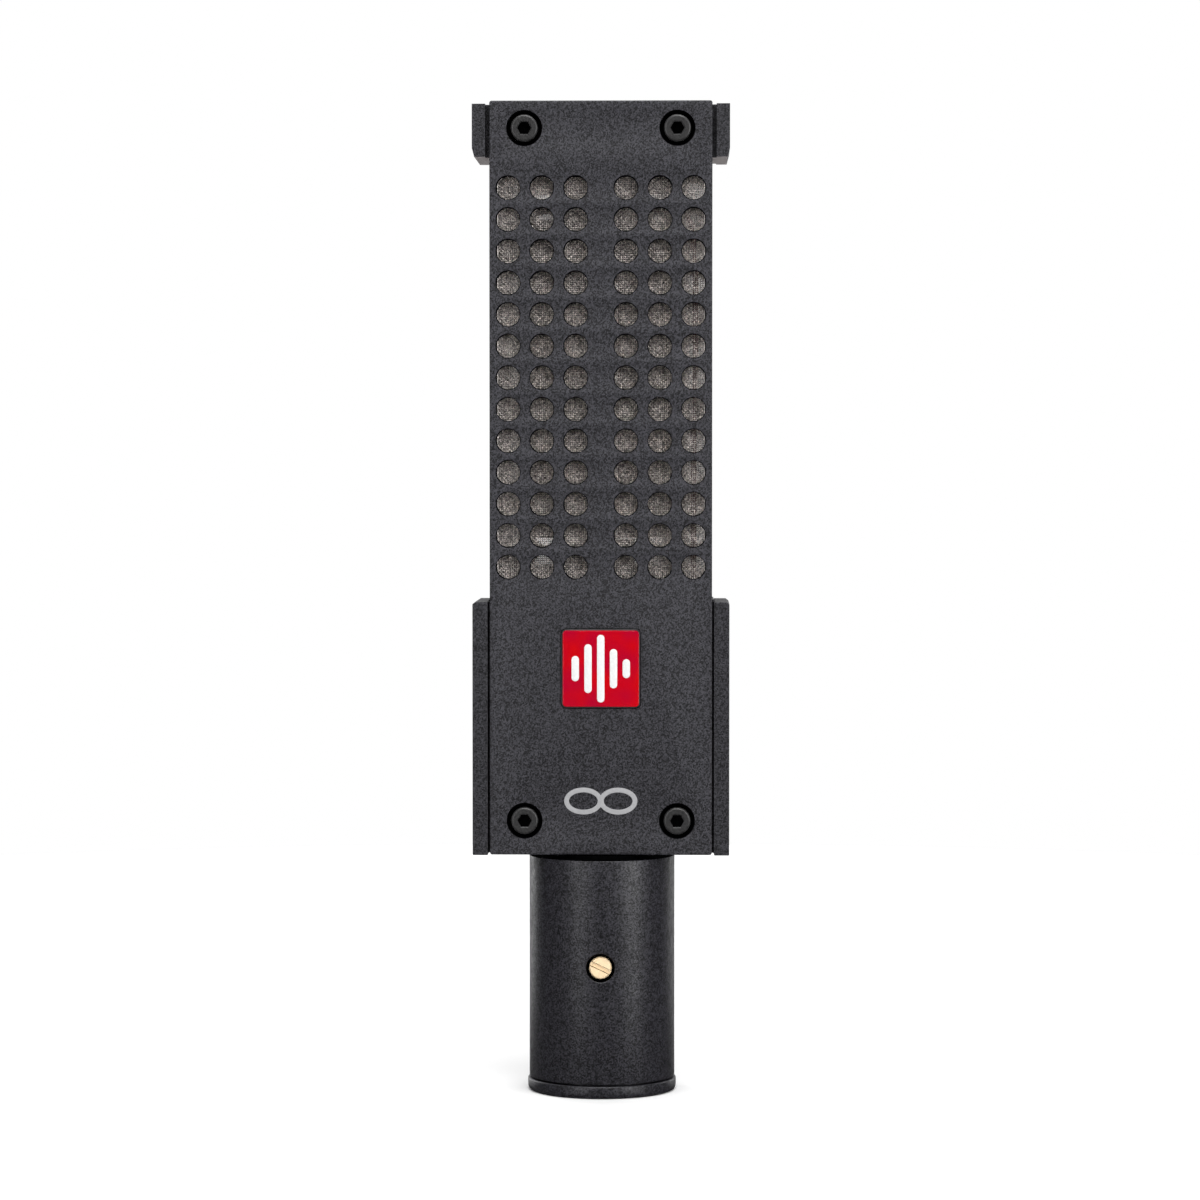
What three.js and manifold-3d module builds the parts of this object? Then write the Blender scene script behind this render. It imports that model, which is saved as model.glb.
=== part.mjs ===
// Ribbon microphone: a flat slab body between two perforated plates, a ribbon motor behind the grille,
// a transformer bay below it, and a round stem that ends in a three-pin output connector.
//
// Millimetres. The origin is the centre of the stem's bottom face, +Z runs up the body, and the front
// plate faces -Y. Left and right are as seen from the front, so left is -X.

import * as THREE from 'three';
import { mergeVertices } from 'three/addons/utils/BufferGeometryUtils.js';
import Module from 'manifold-3d';

const wasm = await Module();
wasm.setup();

// ---------------------------------------------------------------------------------------------------
// Driving dimensions
// ---------------------------------------------------------------------------------------------------

const PLATE = { halfWidth: 18.5, bottom: 40.5, top: 165.8, face: 9.25, thickness: 2.2, cornerRadius: 0.4 };
const GRILLE = { holeRadius: 1.95, columns: [4.17, 9.8, 15.4], rows: 13, lowest: 88.5, highest: 151.4 };
const POCKET = { halfWidth: 17.6, bottom: 84, top: 155.5, web: 1.6 }; // thinned back of the grille
const BADGE = {
  side: 13.1, height: 71.6, cornerRadius: 0.8, thickness: 0.6, pocketDepth: 0.45, pocketGap: 0.15,
};

const WING = { inner: 18.85, outer: 21.4, halfDepth: 9.1, bottom: 40.4, top: 82.7, chamfer: [0.5, 0.4] };
const EAR = { inner: 19.2, bottom: 156.5, top: 165.3, chamfer: [0.4, 1.5] };
const CORE_HALF_DEPTH = 6.95; // half depth of everything that sits between the two plates
const LOWER_BLOCK_TOP = 52;
const BAY_WALL = { inner: 17, top: 75.9 }; // walls inside the wings that close the transformer's bay
const CROSS_BAR = { halfWidth: 18.8, bottom: 76, top: 83 };

const CAP_SCREW = {
  headRadius: 2.25, headHeight: 1.7, headChamfer: 0.2, proud: 0.4,
  hexFlats: 2, hexDepth: 1.1, shankRadius: 1.25, length: 5.4,
};
const CORNER_SCREWS = { x: 12.7, low: 46.2, high: 161.25, counterboreRadius: 2.88, clearanceRadius: 1.45 };
const MOTOR_SCREW = {
  headRadius: 1.9, headHeight: 1.6, headChamfer: 0.2, hexFlats: 1.5, hexDepth: 0.9,
  shankRadius: 1, length: 11, x: 6.5, sunk: 0.3,
};
const WING_SCREW = {
  headRadius: 1.9, coneHeight: 1, hexFlats: 1.25, hexDepth: 0.7, shankRadius: 1, length: 4.6,
};
const CLAMP_SCREW = {
  headRadius: 1.4, headHeight: 1, headChamfer: 0.15, hexFlats: 1.1, hexDepth: 0.5,
  shankRadius: 0.8, length: 4.4, x: 4,
};

const SCREEN = { thickness: 0.35, pocketGap: 0.1, sideOuter: 17.6, endGap: 0.2 };

const DAMPER = { halfWidth: 13, halfDepth: 4.5, thickness: 2 };
const MOTOR = { halfWidth: 14, halfDepth: 5, endPlateThickness: 3.5, railThickness: 2, poleInset: 0.3 };
const MAGNET = { inner: 7, outer: 11.95 };
const POLE = { tip: 2.7, root: 6.95, tipHalfDepth: 1.6, rootHalfDepth: 4.6 };
const CLAMP = { halfWidth: 5.5, height: 4.5, barThickness: 1.5, baseThickness: 3.5, ribbonRoom: 0.65 };
const RIBBON = { halfWidth: 2.2, foil: 0.12, waveHeight: 0.22, wavePitch: 1.6, endMargin: 0.9 };

const CAN = {
  halfWidth: 13, halfDepth: 6.4, wall: 0.6, bottom: 52.2, top: 74.2, exitRadius: 2.5, lidThickness: 0.8,
};
const LAMINATIONS = {
  halfWidth: 11, halfDepth: 3, bottom: 55.2, height: 16, legHalfWidth: 2.75, yoke: 3, side: 3.75,
};
const WINDING = { halfDepth: 5.6, gap: 0.2 };

const STEM = {
  radius: 12.25, bottom: 2.4, top: 40.35, shoulder: 39.7, flat: 8.1,
  socketRadius: 9.6, ribRadius: 8.8, ribBottom: 25.2, ribTop: 33, threadRadius: 10.1,
};
const RING = {
  radius: 12.5, height: 2.1, round: 0.8, lead: 0.4, spigotRadius: 11.05, spigotTop: 5, spigotGap: 0.15,
};
const KEYWAY = { halfWidth: 1.3, radius: 10.6, top: 14 };
const SPIGOT = { radius: 9.9, bottom: 34, boreRadius: 4.5, neckHalfWidth: 6.9 };
const INSERT = { radius: 9.5, bottom: 17, top: 25 };
const PIN = {
  radius: 1.2, circle: 4.95, tip: 4.8, shoulder: 26.2, tailRadius: 0.85, tailTop: 28.6, holeRadius: 1.3,
};
const LOCK_SCREW = {
  radius: 1.87, height: 21.9, face: 11.95, root: 7.3, chamfer: 0.2,
  slotWidth: 0.85, slotDepth: 0.7, slotAngle: -25, windowRadius: 2.35, threadRadius: 2.05, threadEnd: 6.9,
};

const LEAD = { radius: 0.5, passRadius: 1.5, passX: 15.4, passY: 3.4, entryRadius: 1.1, entryHeight: 69 };
const OUTPUT_LEAD = { radius: 0.5, bundleRadius: 1.2, top: 54.4 };

const REST_GAP = 0.05; // between two pieces that touch on the real object
const SEAT_GAP = 0.3; // between the stem's end and the block above it
const SCREW_GAP = 0.15; // around a screw's shank or head
const THROUGH = 1; // how far a cutting tool runs past the surface that it opens

const SIDES = { stem: 40, insert: 32, head: 16, hole: 10, shank: 10, lead: 6, grilleArc: 5 };

const LOOKS = {
  body: { color: 0x403f44, roughness: 0.72, metalness: 0.15 },
  stem: { color: 0x39383c, roughness: 0.5, metalness: 0.3 },
  blackSteel: { color: 0x1d1d1f, roughness: 0.4, metalness: 0.8 },
  badge: { color: 0xc4000e, roughness: 0.25, metalness: 0.1 },
  mesh: { color: 0x8d867c, roughness: 0.5, metalness: 0.7 },
  rubber: { color: 0x151515, roughness: 0.9, metalness: 0 },
  steel: { color: 0x9c9ea2, roughness: 0.4, metalness: 0.9 },
  magnet: { color: 0xb9bcc0, roughness: 0.25, metalness: 1 },
  foil: { color: 0xe3e5e8, roughness: 0.3, metalness: 1 },
  laminate: { color: 0x5c4a26, roughness: 0.6, metalness: 0 },
  copper: { color: 0xb4622d, roughness: 0.35, metalness: 0.9 },
  can: { color: 0xa8a9a6, roughness: 0.35, metalness: 0.9 },
  plastic: { color: 0x17181b, roughness: 0.5, metalness: 0 },
  silver: { color: 0xd6d4cc, roughness: 0.25, metalness: 1 },
  brass: { color: 0xe0b866, roughness: 0.3, metalness: 1 },
  redWire: { color: 0xa51d1d, roughness: 0.5, metalness: 0 },
  blueWire: { color: 0x22428f, roughness: 0.5, metalness: 0 },
  blackWire: { color: 0x1a1a1a, roughness: 0.5, metalness: 0 },
};

// ---------------------------------------------------------------------------------------------------
// Geometry helpers
// ---------------------------------------------------------------------------------------------------

const X = new THREE.Vector3(1, 0, 0);
const Y = new THREE.Vector3(0, 1, 0);
const Z = new THREE.Vector3(0, 0, 1);
const QUARTER = Math.PI / 2;

// Closed geometry to a solid that can be joined and cut. Flat triangles on a lathe's axis are left out.
function solidOf(geometry) {
  const bare = geometry.clone();
  bare.deleteAttribute('normal');
  bare.deleteAttribute('uv');
  const merged = mergeVertices(bare);
  const corners = merged.index.array;
  const triangles = [];
  for (let i = 0; i < corners.length; i += 3) {
    const [a, b, c] = corners.slice(i, i + 3);
    if (a !== b && b !== c && c !== a) triangles.push(a, b, c);
  }
  return new wasm.Manifold(new wasm.Mesh({
    numProp: 3,
    vertProperties: new Float32Array(merged.attributes.position.array),
    triVerts: new Uint32Array(triangles),
  }));
}

function geometryOf(solid) {
  const mesh = solid.getMesh();
  const geometry = new THREE.BufferGeometry();
  geometry.setAttribute('position', new THREE.BufferAttribute(mesh.vertProperties, 3));
  geometry.setIndex(new THREE.BufferAttribute(mesh.triVerts, 1));
  geometry.computeVertexNormals();
  return geometry;
}

function join(...geometries) {
  return geometryOf(geometries.map(solidOf).reduce((whole, part) => whole.add(part)));
}

function cut(geometry, ...tools) {
  return geometryOf(tools.map(solidOf).reduce((whole, tool) => whole.subtract(tool), solidOf(geometry)));
}

// Box between two opposite corners.
function boxBetween([x0, y0, z0], [x1, y1, z1]) {
  const box = new THREE.BoxGeometry(x1 - x0, y1 - y0, z1 - z0);
  return box.translate((x0 + x1) / 2, (y0 + y1) / 2, (z0 + z1) / 2);
}

// Box centred on the Z axis.
function blockOf(halfX, halfY, bottom, top) {
  return boxBetween([-halfX, -halfY, bottom], [halfX, halfY, top]);
}

function rodAlongX(radius, x0, x1, y, z, sides = SIDES.hole) {
  const rod = new THREE.CylinderGeometry(radius, radius, Math.abs(x1 - x0), sides).rotateZ(QUARTER);
  return rod.translate((x0 + x1) / 2, y, z);
}

function rodAlongY(radius, y0, y1, x, z, sides = SIDES.hole) {
  const rod = new THREE.CylinderGeometry(radius, radius, Math.abs(y1 - y0), sides);
  return rod.translate(x, (y0 + y1) / 2, z);
}

function rodAlongZ(radius, z0, z1, x = 0, y = 0, sides = SIDES.hole) {
  const rod = new THREE.CylinderGeometry(radius, radius, Math.abs(z1 - z0), sides).rotateX(QUARTER);
  return rod.translate(x, y, (z0 + z1) / 2);
}

// Profile of [radius, z] points, outside upwards, turned about Z.
function turned(profile, sides) {
  const points = profile.map(([radius, z]) => new THREE.Vector2(radius, z));
  return new THREE.LatheGeometry(points, sides).rotateX(QUARTER);
}

// Outline in X and Z, pushed through from y0 to y1.
function slabAlongY(outline, y0, y1, curveSegments = SIDES.grilleArc) {
  const options = { depth: y1 - y0, bevelEnabled: false, curveSegments };
  return new THREE.ExtrudeGeometry(outline, options).rotateX(QUARTER).translate(0, y1, 0);
}

// Outline in Y and Z, pushed through from -halfX to halfX.
function slabAlongX(outline, halfX) {
  const slab = new THREE.ExtrudeGeometry(outline, { depth: 2 * halfX, bevelEnabled: false });
  return slab.translate(0, 0, -halfX).applyMatrix4(new THREE.Matrix4().makeBasis(Y, Z, X));
}

// Outline in X and Y, pushed up from one height to another.
function slabAlongZ(outline, bottom, top) {
  const slab = new THREE.ExtrudeGeometry(outline, { depth: top - bottom, bevelEnabled: false });
  return slab.translate(0, 0, bottom);
}

function outlineOf(points) {
  return new THREE.Shape(points.map(([a, b]) => new THREE.Vector2(a, b)));
}

function mirroredInX(points) {
  return points.map(([x, other]) => [-x, other]).reverse();
}

function roundedRectangle(x0, z0, x1, z1, radius) {
  const outline = new THREE.Shape();
  outline.absarc(x1 - radius, z1 - radius, radius, 0, QUARTER);
  outline.absarc(x0 + radius, z1 - radius, radius, QUARTER, 2 * QUARTER);
  outline.absarc(x0 + radius, z0 + radius, radius, 2 * QUARTER, 3 * QUARTER);
  outline.absarc(x1 - radius, z0 + radius, radius, 3 * QUARTER, 4 * QUARTER);
  return outline;
}

// Hexagonal key with its corners on local X, reaching down from the height top.
function hexKey(flats, depth, top = 0) {
  const cornerRadius = flats / Math.sqrt(3);
  const key = new THREE.CylinderGeometry(cornerRadius, cornerRadius, depth + THROUGH, 6).rotateX(QUARTER);
  return key.rotateZ(QUARTER).translate(0, 0, top + (THROUGH - depth) / 2);
}

// Lead along a smooth curve through the given points.
function leadThrough(points, radius, stepLength = 2.6) {
  const places = points.map((point) => new THREE.Vector3(...point));
  const curve = new THREE.CatmullRomCurve3(places, false, 'centripetal');
  const section = new THREE.Shape().absarc(0, 0, radius, 0, 2 * Math.PI);
  const steps = Math.ceil(curve.getLength() / stepLength);
  return new THREE.ExtrudeGeometry(section, { steps, extrudePath: curve, curveSegments: SIDES.lead / 2 });
}

// ---------------------------------------------------------------------------------------------------
// Fasteners: the head's top is at local z = 0 and the shank runs down local -Z
// ---------------------------------------------------------------------------------------------------

function capScrew({ headRadius, headHeight, headChamfer, hexFlats, hexDepth, shankRadius, length }) {
  const screw = turned([
    [0, -headHeight - length],
    [shankRadius, -headHeight - length],
    [shankRadius, -headHeight],
    [headRadius, -headHeight],
    [headRadius, -headChamfer],
    [headRadius - headChamfer, 0],
    [0, 0],
  ], SIDES.head);
  return cut(screw, hexKey(hexFlats, hexDepth));
}

function countersunkScrew({ headRadius, coneHeight, hexFlats, hexDepth, shankRadius, length }) {
  const screw = turned([
    [0, -coneHeight - length],
    [shankRadius, -coneHeight - length],
    [shankRadius, -coneHeight],
    [headRadius, 0],
    [0, 0],
  ], SIDES.head);
  return cut(screw, hexKey(hexFlats, hexDepth));
}

// Headless screw with a straight slot, its face at local z = 0.
function lockScrew() {
  const { radius, face, root, chamfer, slotWidth, slotDepth, slotAngle } = LOCK_SCREW;
  const screw = turned([
    [0, root - face],
    [radius - chamfer, root - face],
    [radius, root - face + chamfer],
    [radius, -chamfer],
    [radius - chamfer, 0],
    [0, 0],
  ], SIDES.head);
  const reach = radius + THROUGH;
  const slot = boxBetween([-reach, -slotWidth / 2, -slotDepth], [reach, slotWidth / 2, THROUGH]);
  return cut(screw, slot.rotateZ(THREE.MathUtils.degToRad(slotAngle)));
}

// ---------------------------------------------------------------------------------------------------
// Housing
// ---------------------------------------------------------------------------------------------------

function cornerScrewPlaces() {
  const { x, low, high } = CORNER_SCREWS;
  return [
    { corner: 'top_left', x: -x, z: high },
    { corner: 'top_right', x, z: high },
    { corner: 'bottom_left', x: -x, z: low },
    { corner: 'bottom_right', x, z: low },
  ];
}

// Perforated plate as it sits at the front: outer face at -PLATE.face.
function grillePlate(withBadgePocket) {
  const { halfWidth, bottom, top, face, thickness, cornerRadius } = PLATE;
  const outline = roundedRectangle(-halfWidth, bottom, halfWidth, top, cornerRadius);
  const rowPitch = (GRILLE.highest - GRILLE.lowest) / (GRILLE.rows - 1);
  for (const column of GRILLE.columns) {
    for (const x of [-column, column]) {
      for (let row = 0; row < GRILLE.rows; row += 1) {
        const hole = new THREE.Path();
        hole.absarc(x, GRILLE.lowest + row * rowPitch, GRILLE.holeRadius, 0, 2 * Math.PI, true);
        outline.holes.push(hole);
      }
    }
  }
  const tools = cornerScrewPlaces().flatMap(({ x, z }) => {
    const seat = -face - CAP_SCREW.proud + CAP_SCREW.headHeight;
    return [
      rodAlongY(CORNER_SCREWS.clearanceRadius, -face - THROUGH, THROUGH - face + thickness, x, z),
      rodAlongY(CORNER_SCREWS.counterboreRadius, -face - THROUGH, seat + REST_GAP, x, z, SIDES.head),
    ];
  });
  tools.push(boxBetween(
    [-POCKET.halfWidth, POCKET.web - face, POCKET.bottom],
    [POCKET.halfWidth, thickness - face + THROUGH, POCKET.top],
  ));
  if (withBadgePocket) {
    const half = BADGE.side / 2 + BADGE.pocketGap;
    const pocket = roundedRectangle(
      -half, BADGE.height - half, half, BADGE.height + half, BADGE.cornerRadius,
    );
    tools.push(slabAlongY(pocket, -face - THROUGH, BADGE.pocketDepth - face, 2));
  }
  return cut(slabAlongY(outline, -face, thickness - face), ...tools);
}

function badge() {
  const half = BADGE.side / 2;
  const outline = roundedRectangle(-half, BADGE.height - half, half, BADGE.height + half, BADGE.cornerRadius);
  const floor = BADGE.pocketDepth - PLATE.face - REST_GAP;
  return slabAlongY(outline, floor - BADGE.thickness, floor, 2);
}

// Holes drilled through from front to back, which the corner screws of both plates enter.
function cornerScrewHoles(z) {
  return [-CORNER_SCREWS.x, CORNER_SCREWS.x].map((x) => rodAlongY(
    CORNER_SCREWS.clearanceRadius, -CORE_HALF_DEPTH - THROUGH, CORE_HALF_DEPTH + THROUGH, x, z,
  ));
}

// Block under the transformer with a side wing at each end and a spigot that screws into the stem.
function lowerBracket() {
  const [chamferX, chamferZ] = WING.chamfer;
  const wingOutline = [
    [WING.inner, WING.bottom],
    [WING.outer, WING.bottom],
    [WING.outer, WING.top - chamferZ],
    [WING.outer - chamferX, WING.top],
    [WING.inner, WING.top],
  ];
  const blockBottom = STEM.top + SEAT_GAP;
  const inWing = (WING.inner + WING.outer) / 2;
  const bayWalls = [[BAY_WALL.inner, inWing], [-inWing, -BAY_WALL.inner]].map(([left, right]) => boxBetween(
    [left, -CORE_HALF_DEPTH, LOWER_BLOCK_TOP - THROUGH],
    [right, CORE_HALF_DEPTH, BAY_WALL.top],
  ));
  const joined = join(
    blockOf(inWing, CORE_HALF_DEPTH, blockBottom, LOWER_BLOCK_TOP),
    ...bayWalls,
    slabAlongY(outlineOf(wingOutline), -WING.halfDepth, WING.halfDepth),
    slabAlongY(outlineOf(mirroredInX(wingOutline)), -WING.halfDepth, WING.halfDepth),
    blockOf(SPIGOT.neckHalfWidth, CORE_HALF_DEPTH, STEM.top - THROUGH, blockBottom + THROUGH),
    rodAlongZ(SPIGOT.radius, SPIGOT.bottom, STEM.top, 0, 0, SIDES.stem),
  );
  return cut(
    joined,
    rodAlongZ(SPIGOT.boreRadius, SPIGOT.bottom - THROUGH, LOWER_BLOCK_TOP + THROUGH, 0, 0, SIDES.head),
    ...cornerScrewHoles(CORNER_SCREWS.low),
    ...[-1, 1].map(wingScrewHole),
  );
}

// Countersunk hole through the wing on the given side.
function wingScrewHole(side) {
  const hole = turned([
    [0, -WING.outer],
    [WING_SCREW.shankRadius + SCREW_GAP, -WING.outer],
    [WING_SCREW.shankRadius + SCREW_GAP, -WING_SCREW.coneHeight - SCREW_GAP],
    [WING_SCREW.headRadius + SCREW_GAP, 0],
    [WING_SCREW.headRadius + SCREW_GAP, THROUGH],
    [0, THROUGH],
  ], SIDES.head);
  const middle = (CROSS_BAR.bottom + CROSS_BAR.top) / 2;
  return hole.rotateY(side * QUARTER).translate(side * WING.outer, 0, middle);
}

// Bar between the wings that carries the motor and closes the transformer bay.
function crossBar() {
  const { halfWidth, bottom, top } = CROSS_BAR;
  const passes = [-LEAD.passX, LEAD.passX].map((x) => rodAlongZ(
    LEAD.passRadius, bottom - THROUGH, top + THROUGH, x, LEAD.passY,
  ));
  return cut(blockOf(halfWidth, CORE_HALF_DEPTH, bottom, top), ...passes, ...[-1, 1].map(wingScrewPilot));
}

// Blind hole in the end of the cross bar for a wing screw.
function wingScrewPilot(side) {
  const reach = WING.outer - WING_SCREW.coneHeight - WING_SCREW.length - 2 * SCREW_GAP;
  const middle = (CROSS_BAR.bottom + CROSS_BAR.top) / 2;
  const ends = [side * reach, side * (CROSS_BAR.halfWidth + THROUGH)].sort((a, b) => a - b);
  return rodAlongX(WING_SCREW.shankRadius + SCREW_GAP, ...ends, 0, middle);
}

// Block across the top, between the plates, with an ear at each end.
function topBracket() {
  const [chamferX, chamferZ] = EAR.chamfer;
  const earOutline = [
    [EAR.inner, EAR.bottom],
    [WING.outer - chamferX, EAR.bottom],
    [WING.outer, EAR.bottom + chamferZ],
    [WING.outer, EAR.top],
    [EAR.inner, EAR.top],
  ];
  const joined = join(
    blockOf((WING.inner + WING.outer) / 2, CORE_HALF_DEPTH, EAR.bottom, EAR.top),
    slabAlongY(outlineOf(earOutline), -WING.halfDepth, WING.halfDepth),
    slabAlongY(outlineOf(mirroredInX(earOutline)), -WING.halfDepth, WING.halfDepth),
  );
  const motorScrewHoles = [-MOTOR_SCREW.x, MOTOR_SCREW.x].flatMap((x) => [
    rodAlongZ(MOTOR_SCREW.shankRadius + SCREW_GAP, EAR.bottom - THROUGH, EAR.top + THROUGH, x),
    rodAlongZ(
      MOTOR_SCREW.headRadius + SCREW_GAP, EAR.top - MOTOR_SCREW.sunk - MOTOR_SCREW.headHeight - REST_GAP,
      EAR.top + THROUGH, x, 0, SIDES.head,
    ),
  ]);
  return cut(joined, ...cornerScrewHoles(CORNER_SCREWS.high), ...motorScrewHoles);
}

// ---------------------------------------------------------------------------------------------------
// Wire screens, which close the motor's space behind the plates and at the open sides
// ---------------------------------------------------------------------------------------------------

// Screen that lies in the pocket behind the front grille.
function faceScreen() {
  const { thickness, pocketGap } = SCREEN;
  const outerFace = PLATE.face - POCKET.web - pocketGap;
  return boxBetween(
    [pocketGap - POCKET.halfWidth, -outerFace, POCKET.bottom + pocketGap],
    [POCKET.halfWidth - pocketGap, thickness - outerFace, POCKET.top - pocketGap],
  );
}

// Screen between the two plates, on the +X side.
function sideScreen() {
  const { thickness, sideOuter, endGap } = SCREEN;
  return boxBetween(
    [sideOuter - thickness, -CORE_HALF_DEPTH, CROSS_BAR.top + endGap],
    [sideOuter, CORE_HALF_DEPTH, EAR.bottom - endGap],
  );
}

// ---------------------------------------------------------------------------------------------------
// Ribbon motor, from the cross bar up to the top bracket
// ---------------------------------------------------------------------------------------------------

const MOTOR_BOTTOM = CROSS_BAR.top + DAMPER.thickness;
const MOTOR_TOP = EAR.bottom - DAMPER.thickness;
const RAIL_BOTTOM = MOTOR_BOTTOM + MOTOR.endPlateThickness;
const RAIL_TOP = MOTOR_TOP - MOTOR.endPlateThickness;
const MAGNET_BOTTOM = RAIL_BOTTOM + CLAMP.height + MOTOR.poleInset;
const MAGNET_TOP = RAIL_TOP - CLAMP.height - MOTOR.poleInset;

function motorScrewClearances(bottom, top) {
  return [-MOTOR_SCREW.x, MOTOR_SCREW.x].map((x) => rodAlongZ(
    MOTOR_SCREW.shankRadius + SCREW_GAP, bottom - THROUGH, top + THROUGH, x,
  ));
}

function damperPad(bottom) {
  const { halfWidth, halfDepth, thickness } = DAMPER;
  return blockOf(halfWidth, halfDepth, bottom + REST_GAP, bottom + thickness - REST_GAP);
}

function endPlate(bottom) {
  return blockOf(MOTOR.halfWidth, MOTOR.halfDepth, bottom, bottom + MOTOR.endPlateThickness);
}

// Steel rail that closes the magnetic path behind one magnet, on the +X side.
function rail() {
  return boxBetween(
    [MOTOR.halfWidth - MOTOR.railThickness, -MOTOR.halfDepth, RAIL_BOTTOM + REST_GAP],
    [MOTOR.halfWidth, MOTOR.halfDepth, RAIL_TOP - REST_GAP],
  );
}

function magnet() {
  return boxBetween(
    [MAGNET.inner, -MOTOR.halfDepth, MAGNET_BOTTOM],
    [MAGNET.outer, MOTOR.halfDepth, MAGNET_TOP],
  );
}

// Pole piece that narrows from the magnet towards the ribbon's edge, on the +X side.
function polePiece() {
  return slabAlongZ(outlineOf([
    [POLE.tip, -POLE.tipHalfDepth],
    [POLE.root, -POLE.rootHalfDepth],
    [POLE.root, POLE.rootHalfDepth],
    [POLE.tip, POLE.tipHalfDepth],
  ]), MAGNET_BOTTOM, MAGNET_TOP);
}

// Corrugated foil strip. Its ends lie between the clamp halves with room for its travel.
function ribbon() {
  const bottom = RAIL_BOTTOM + RIBBON.endMargin;
  const length = RAIL_TOP - RAIL_BOTTOM - 2 * RIBBON.endMargin;
  const folds = 2 * Math.round(length / RIBBON.wavePitch);
  const front = [];
  const back = [];
  for (let fold = 0; fold <= folds; fold += 1) {
    const z = bottom + (fold * length) / folds;
    const y = fold % 2 ? RIBBON.waveHeight : -RIBBON.waveHeight;
    front.push([y - RIBBON.foil / 2, z]);
    back.push([y + RIBBON.foil / 2, z]);
  }
  return slabAlongX(outlineOf([...back, ...front.reverse()]), RIBBON.halfWidth);
}

function clampScrewHoles(z) {
  return [-CLAMP_SCREW.x, CLAMP_SCREW.x].map((x) => rodAlongY(
    CLAMP_SCREW.shankRadius + SCREW_GAP, -2 * CLAMP.baseThickness, 2 * CLAMP.baseThickness, x, z,
  ));
}

// Insulating block behind a ribbon end, fixed to the end plate.
function ribbonBase(bottom) {
  const front = CLAMP.ribbonRoom;
  const base = boxBetween(
    [-CLAMP.halfWidth, front, bottom + REST_GAP],
    [CLAMP.halfWidth, front + CLAMP.baseThickness, bottom + CLAMP.height - REST_GAP],
  );
  return cut(base, ...clampScrewHoles(bottom + CLAMP.height / 2));
}

// Metal bar that holds a ribbon end against its base.
function ribbonClamp(bottom) {
  const back = -CLAMP.ribbonRoom;
  const bar = boxBetween(
    [-CLAMP.halfWidth, back - CLAMP.barThickness, bottom + REST_GAP],
    [CLAMP.halfWidth, back, bottom + CLAMP.height - REST_GAP],
  );
  return cut(bar, ...clampScrewHoles(bottom + CLAMP.height / 2));
}

// ---------------------------------------------------------------------------------------------------
// Transformer
// ---------------------------------------------------------------------------------------------------

function transformerCan() {
  const { halfWidth, halfDepth, wall, bottom, top, exitRadius } = CAN;
  return cut(
    blockOf(halfWidth, halfDepth, bottom, top),
    blockOf(halfWidth - wall, halfDepth - wall, bottom + wall, top + THROUGH),
    rodAlongZ(exitRadius, bottom - THROUGH, bottom + wall + THROUGH, 0, 0, SIDES.head),
    rodAlongX(LEAD.entryRadius, -halfWidth - THROUGH, halfWidth + THROUGH, 0, LEAD.entryHeight),
  );
}

function transformerLid() {
  return blockOf(CAN.halfWidth, CAN.halfDepth, CAN.top + REST_GAP, CAN.top + REST_GAP + CAN.lidThickness);
}

// Laminated core with two windows beside the middle leg.
function transformerCore() {
  const { halfWidth, halfDepth, bottom, height, legHalfWidth, yoke, side } = LAMINATIONS;
  const windows = [-1, 1].map((direction) => {
    const ends = [direction * legHalfWidth, direction * (halfWidth - side)].sort((a, b) => a - b);
    return boxBetween(
      [ends[0], -halfDepth - THROUGH, bottom + yoke],
      [ends[1], halfDepth + THROUGH, bottom + height - yoke],
    );
  });
  return cut(blockOf(halfWidth, halfDepth, bottom, bottom + height), ...windows);
}

// Coil wound round the middle leg.
function transformerWinding() {
  const { halfWidth, halfDepth, bottom, height, legHalfWidth, yoke, side } = LAMINATIONS;
  const { gap } = WINDING;
  const low = bottom + yoke + gap;
  const high = bottom + height - yoke - gap;
  return cut(
    blockOf(halfWidth - side - gap, WINDING.halfDepth, low, high),
    blockOf(legHalfWidth + gap, halfDepth + gap, low - THROUGH, high + THROUGH),
  );
}

// ---------------------------------------------------------------------------------------------------
// Stem and connector
// ---------------------------------------------------------------------------------------------------

function keywayTool(top) {
  return boxBetween([-KEYWAY.halfWidth, -KEYWAY.radius, -THROUGH], [KEYWAY.halfWidth, 0, top]);
}

function stemTube() {
  const seatRadius = RING.spigotRadius + RING.spigotGap;
  const seatTop = RING.spigotTop + RING.spigotGap;
  const tube = turned([
    [seatRadius, STEM.bottom],
    [STEM.radius, STEM.bottom],
    [STEM.radius, STEM.top],
    [STEM.threadRadius, STEM.top],
    [STEM.threadRadius, STEM.ribTop],
    [STEM.ribRadius, STEM.ribTop],
    [STEM.ribRadius, STEM.ribBottom],
    [STEM.socketRadius, STEM.ribBottom],
    [STEM.socketRadius, seatTop],
    [seatRadius, seatTop],
    [seatRadius, STEM.bottom],
  ], SIDES.stem);
  const reach = STEM.radius + THROUGH;
  const milled = [-1, 1].map((side) => {
    const ends = [side * STEM.flat, side * reach].sort((a, b) => a - b);
    return boxBetween([-reach, ends[0], STEM.shoulder], [reach, ends[1], STEM.top + THROUGH]);
  });
  return cut(
    tube,
    ...milled,
    keywayTool(KEYWAY.top),
    rodAlongY(LOCK_SCREW.windowRadius, -reach, -STEM.ribRadius, 0, LOCK_SCREW.height, SIDES.head),
  );
}

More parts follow.
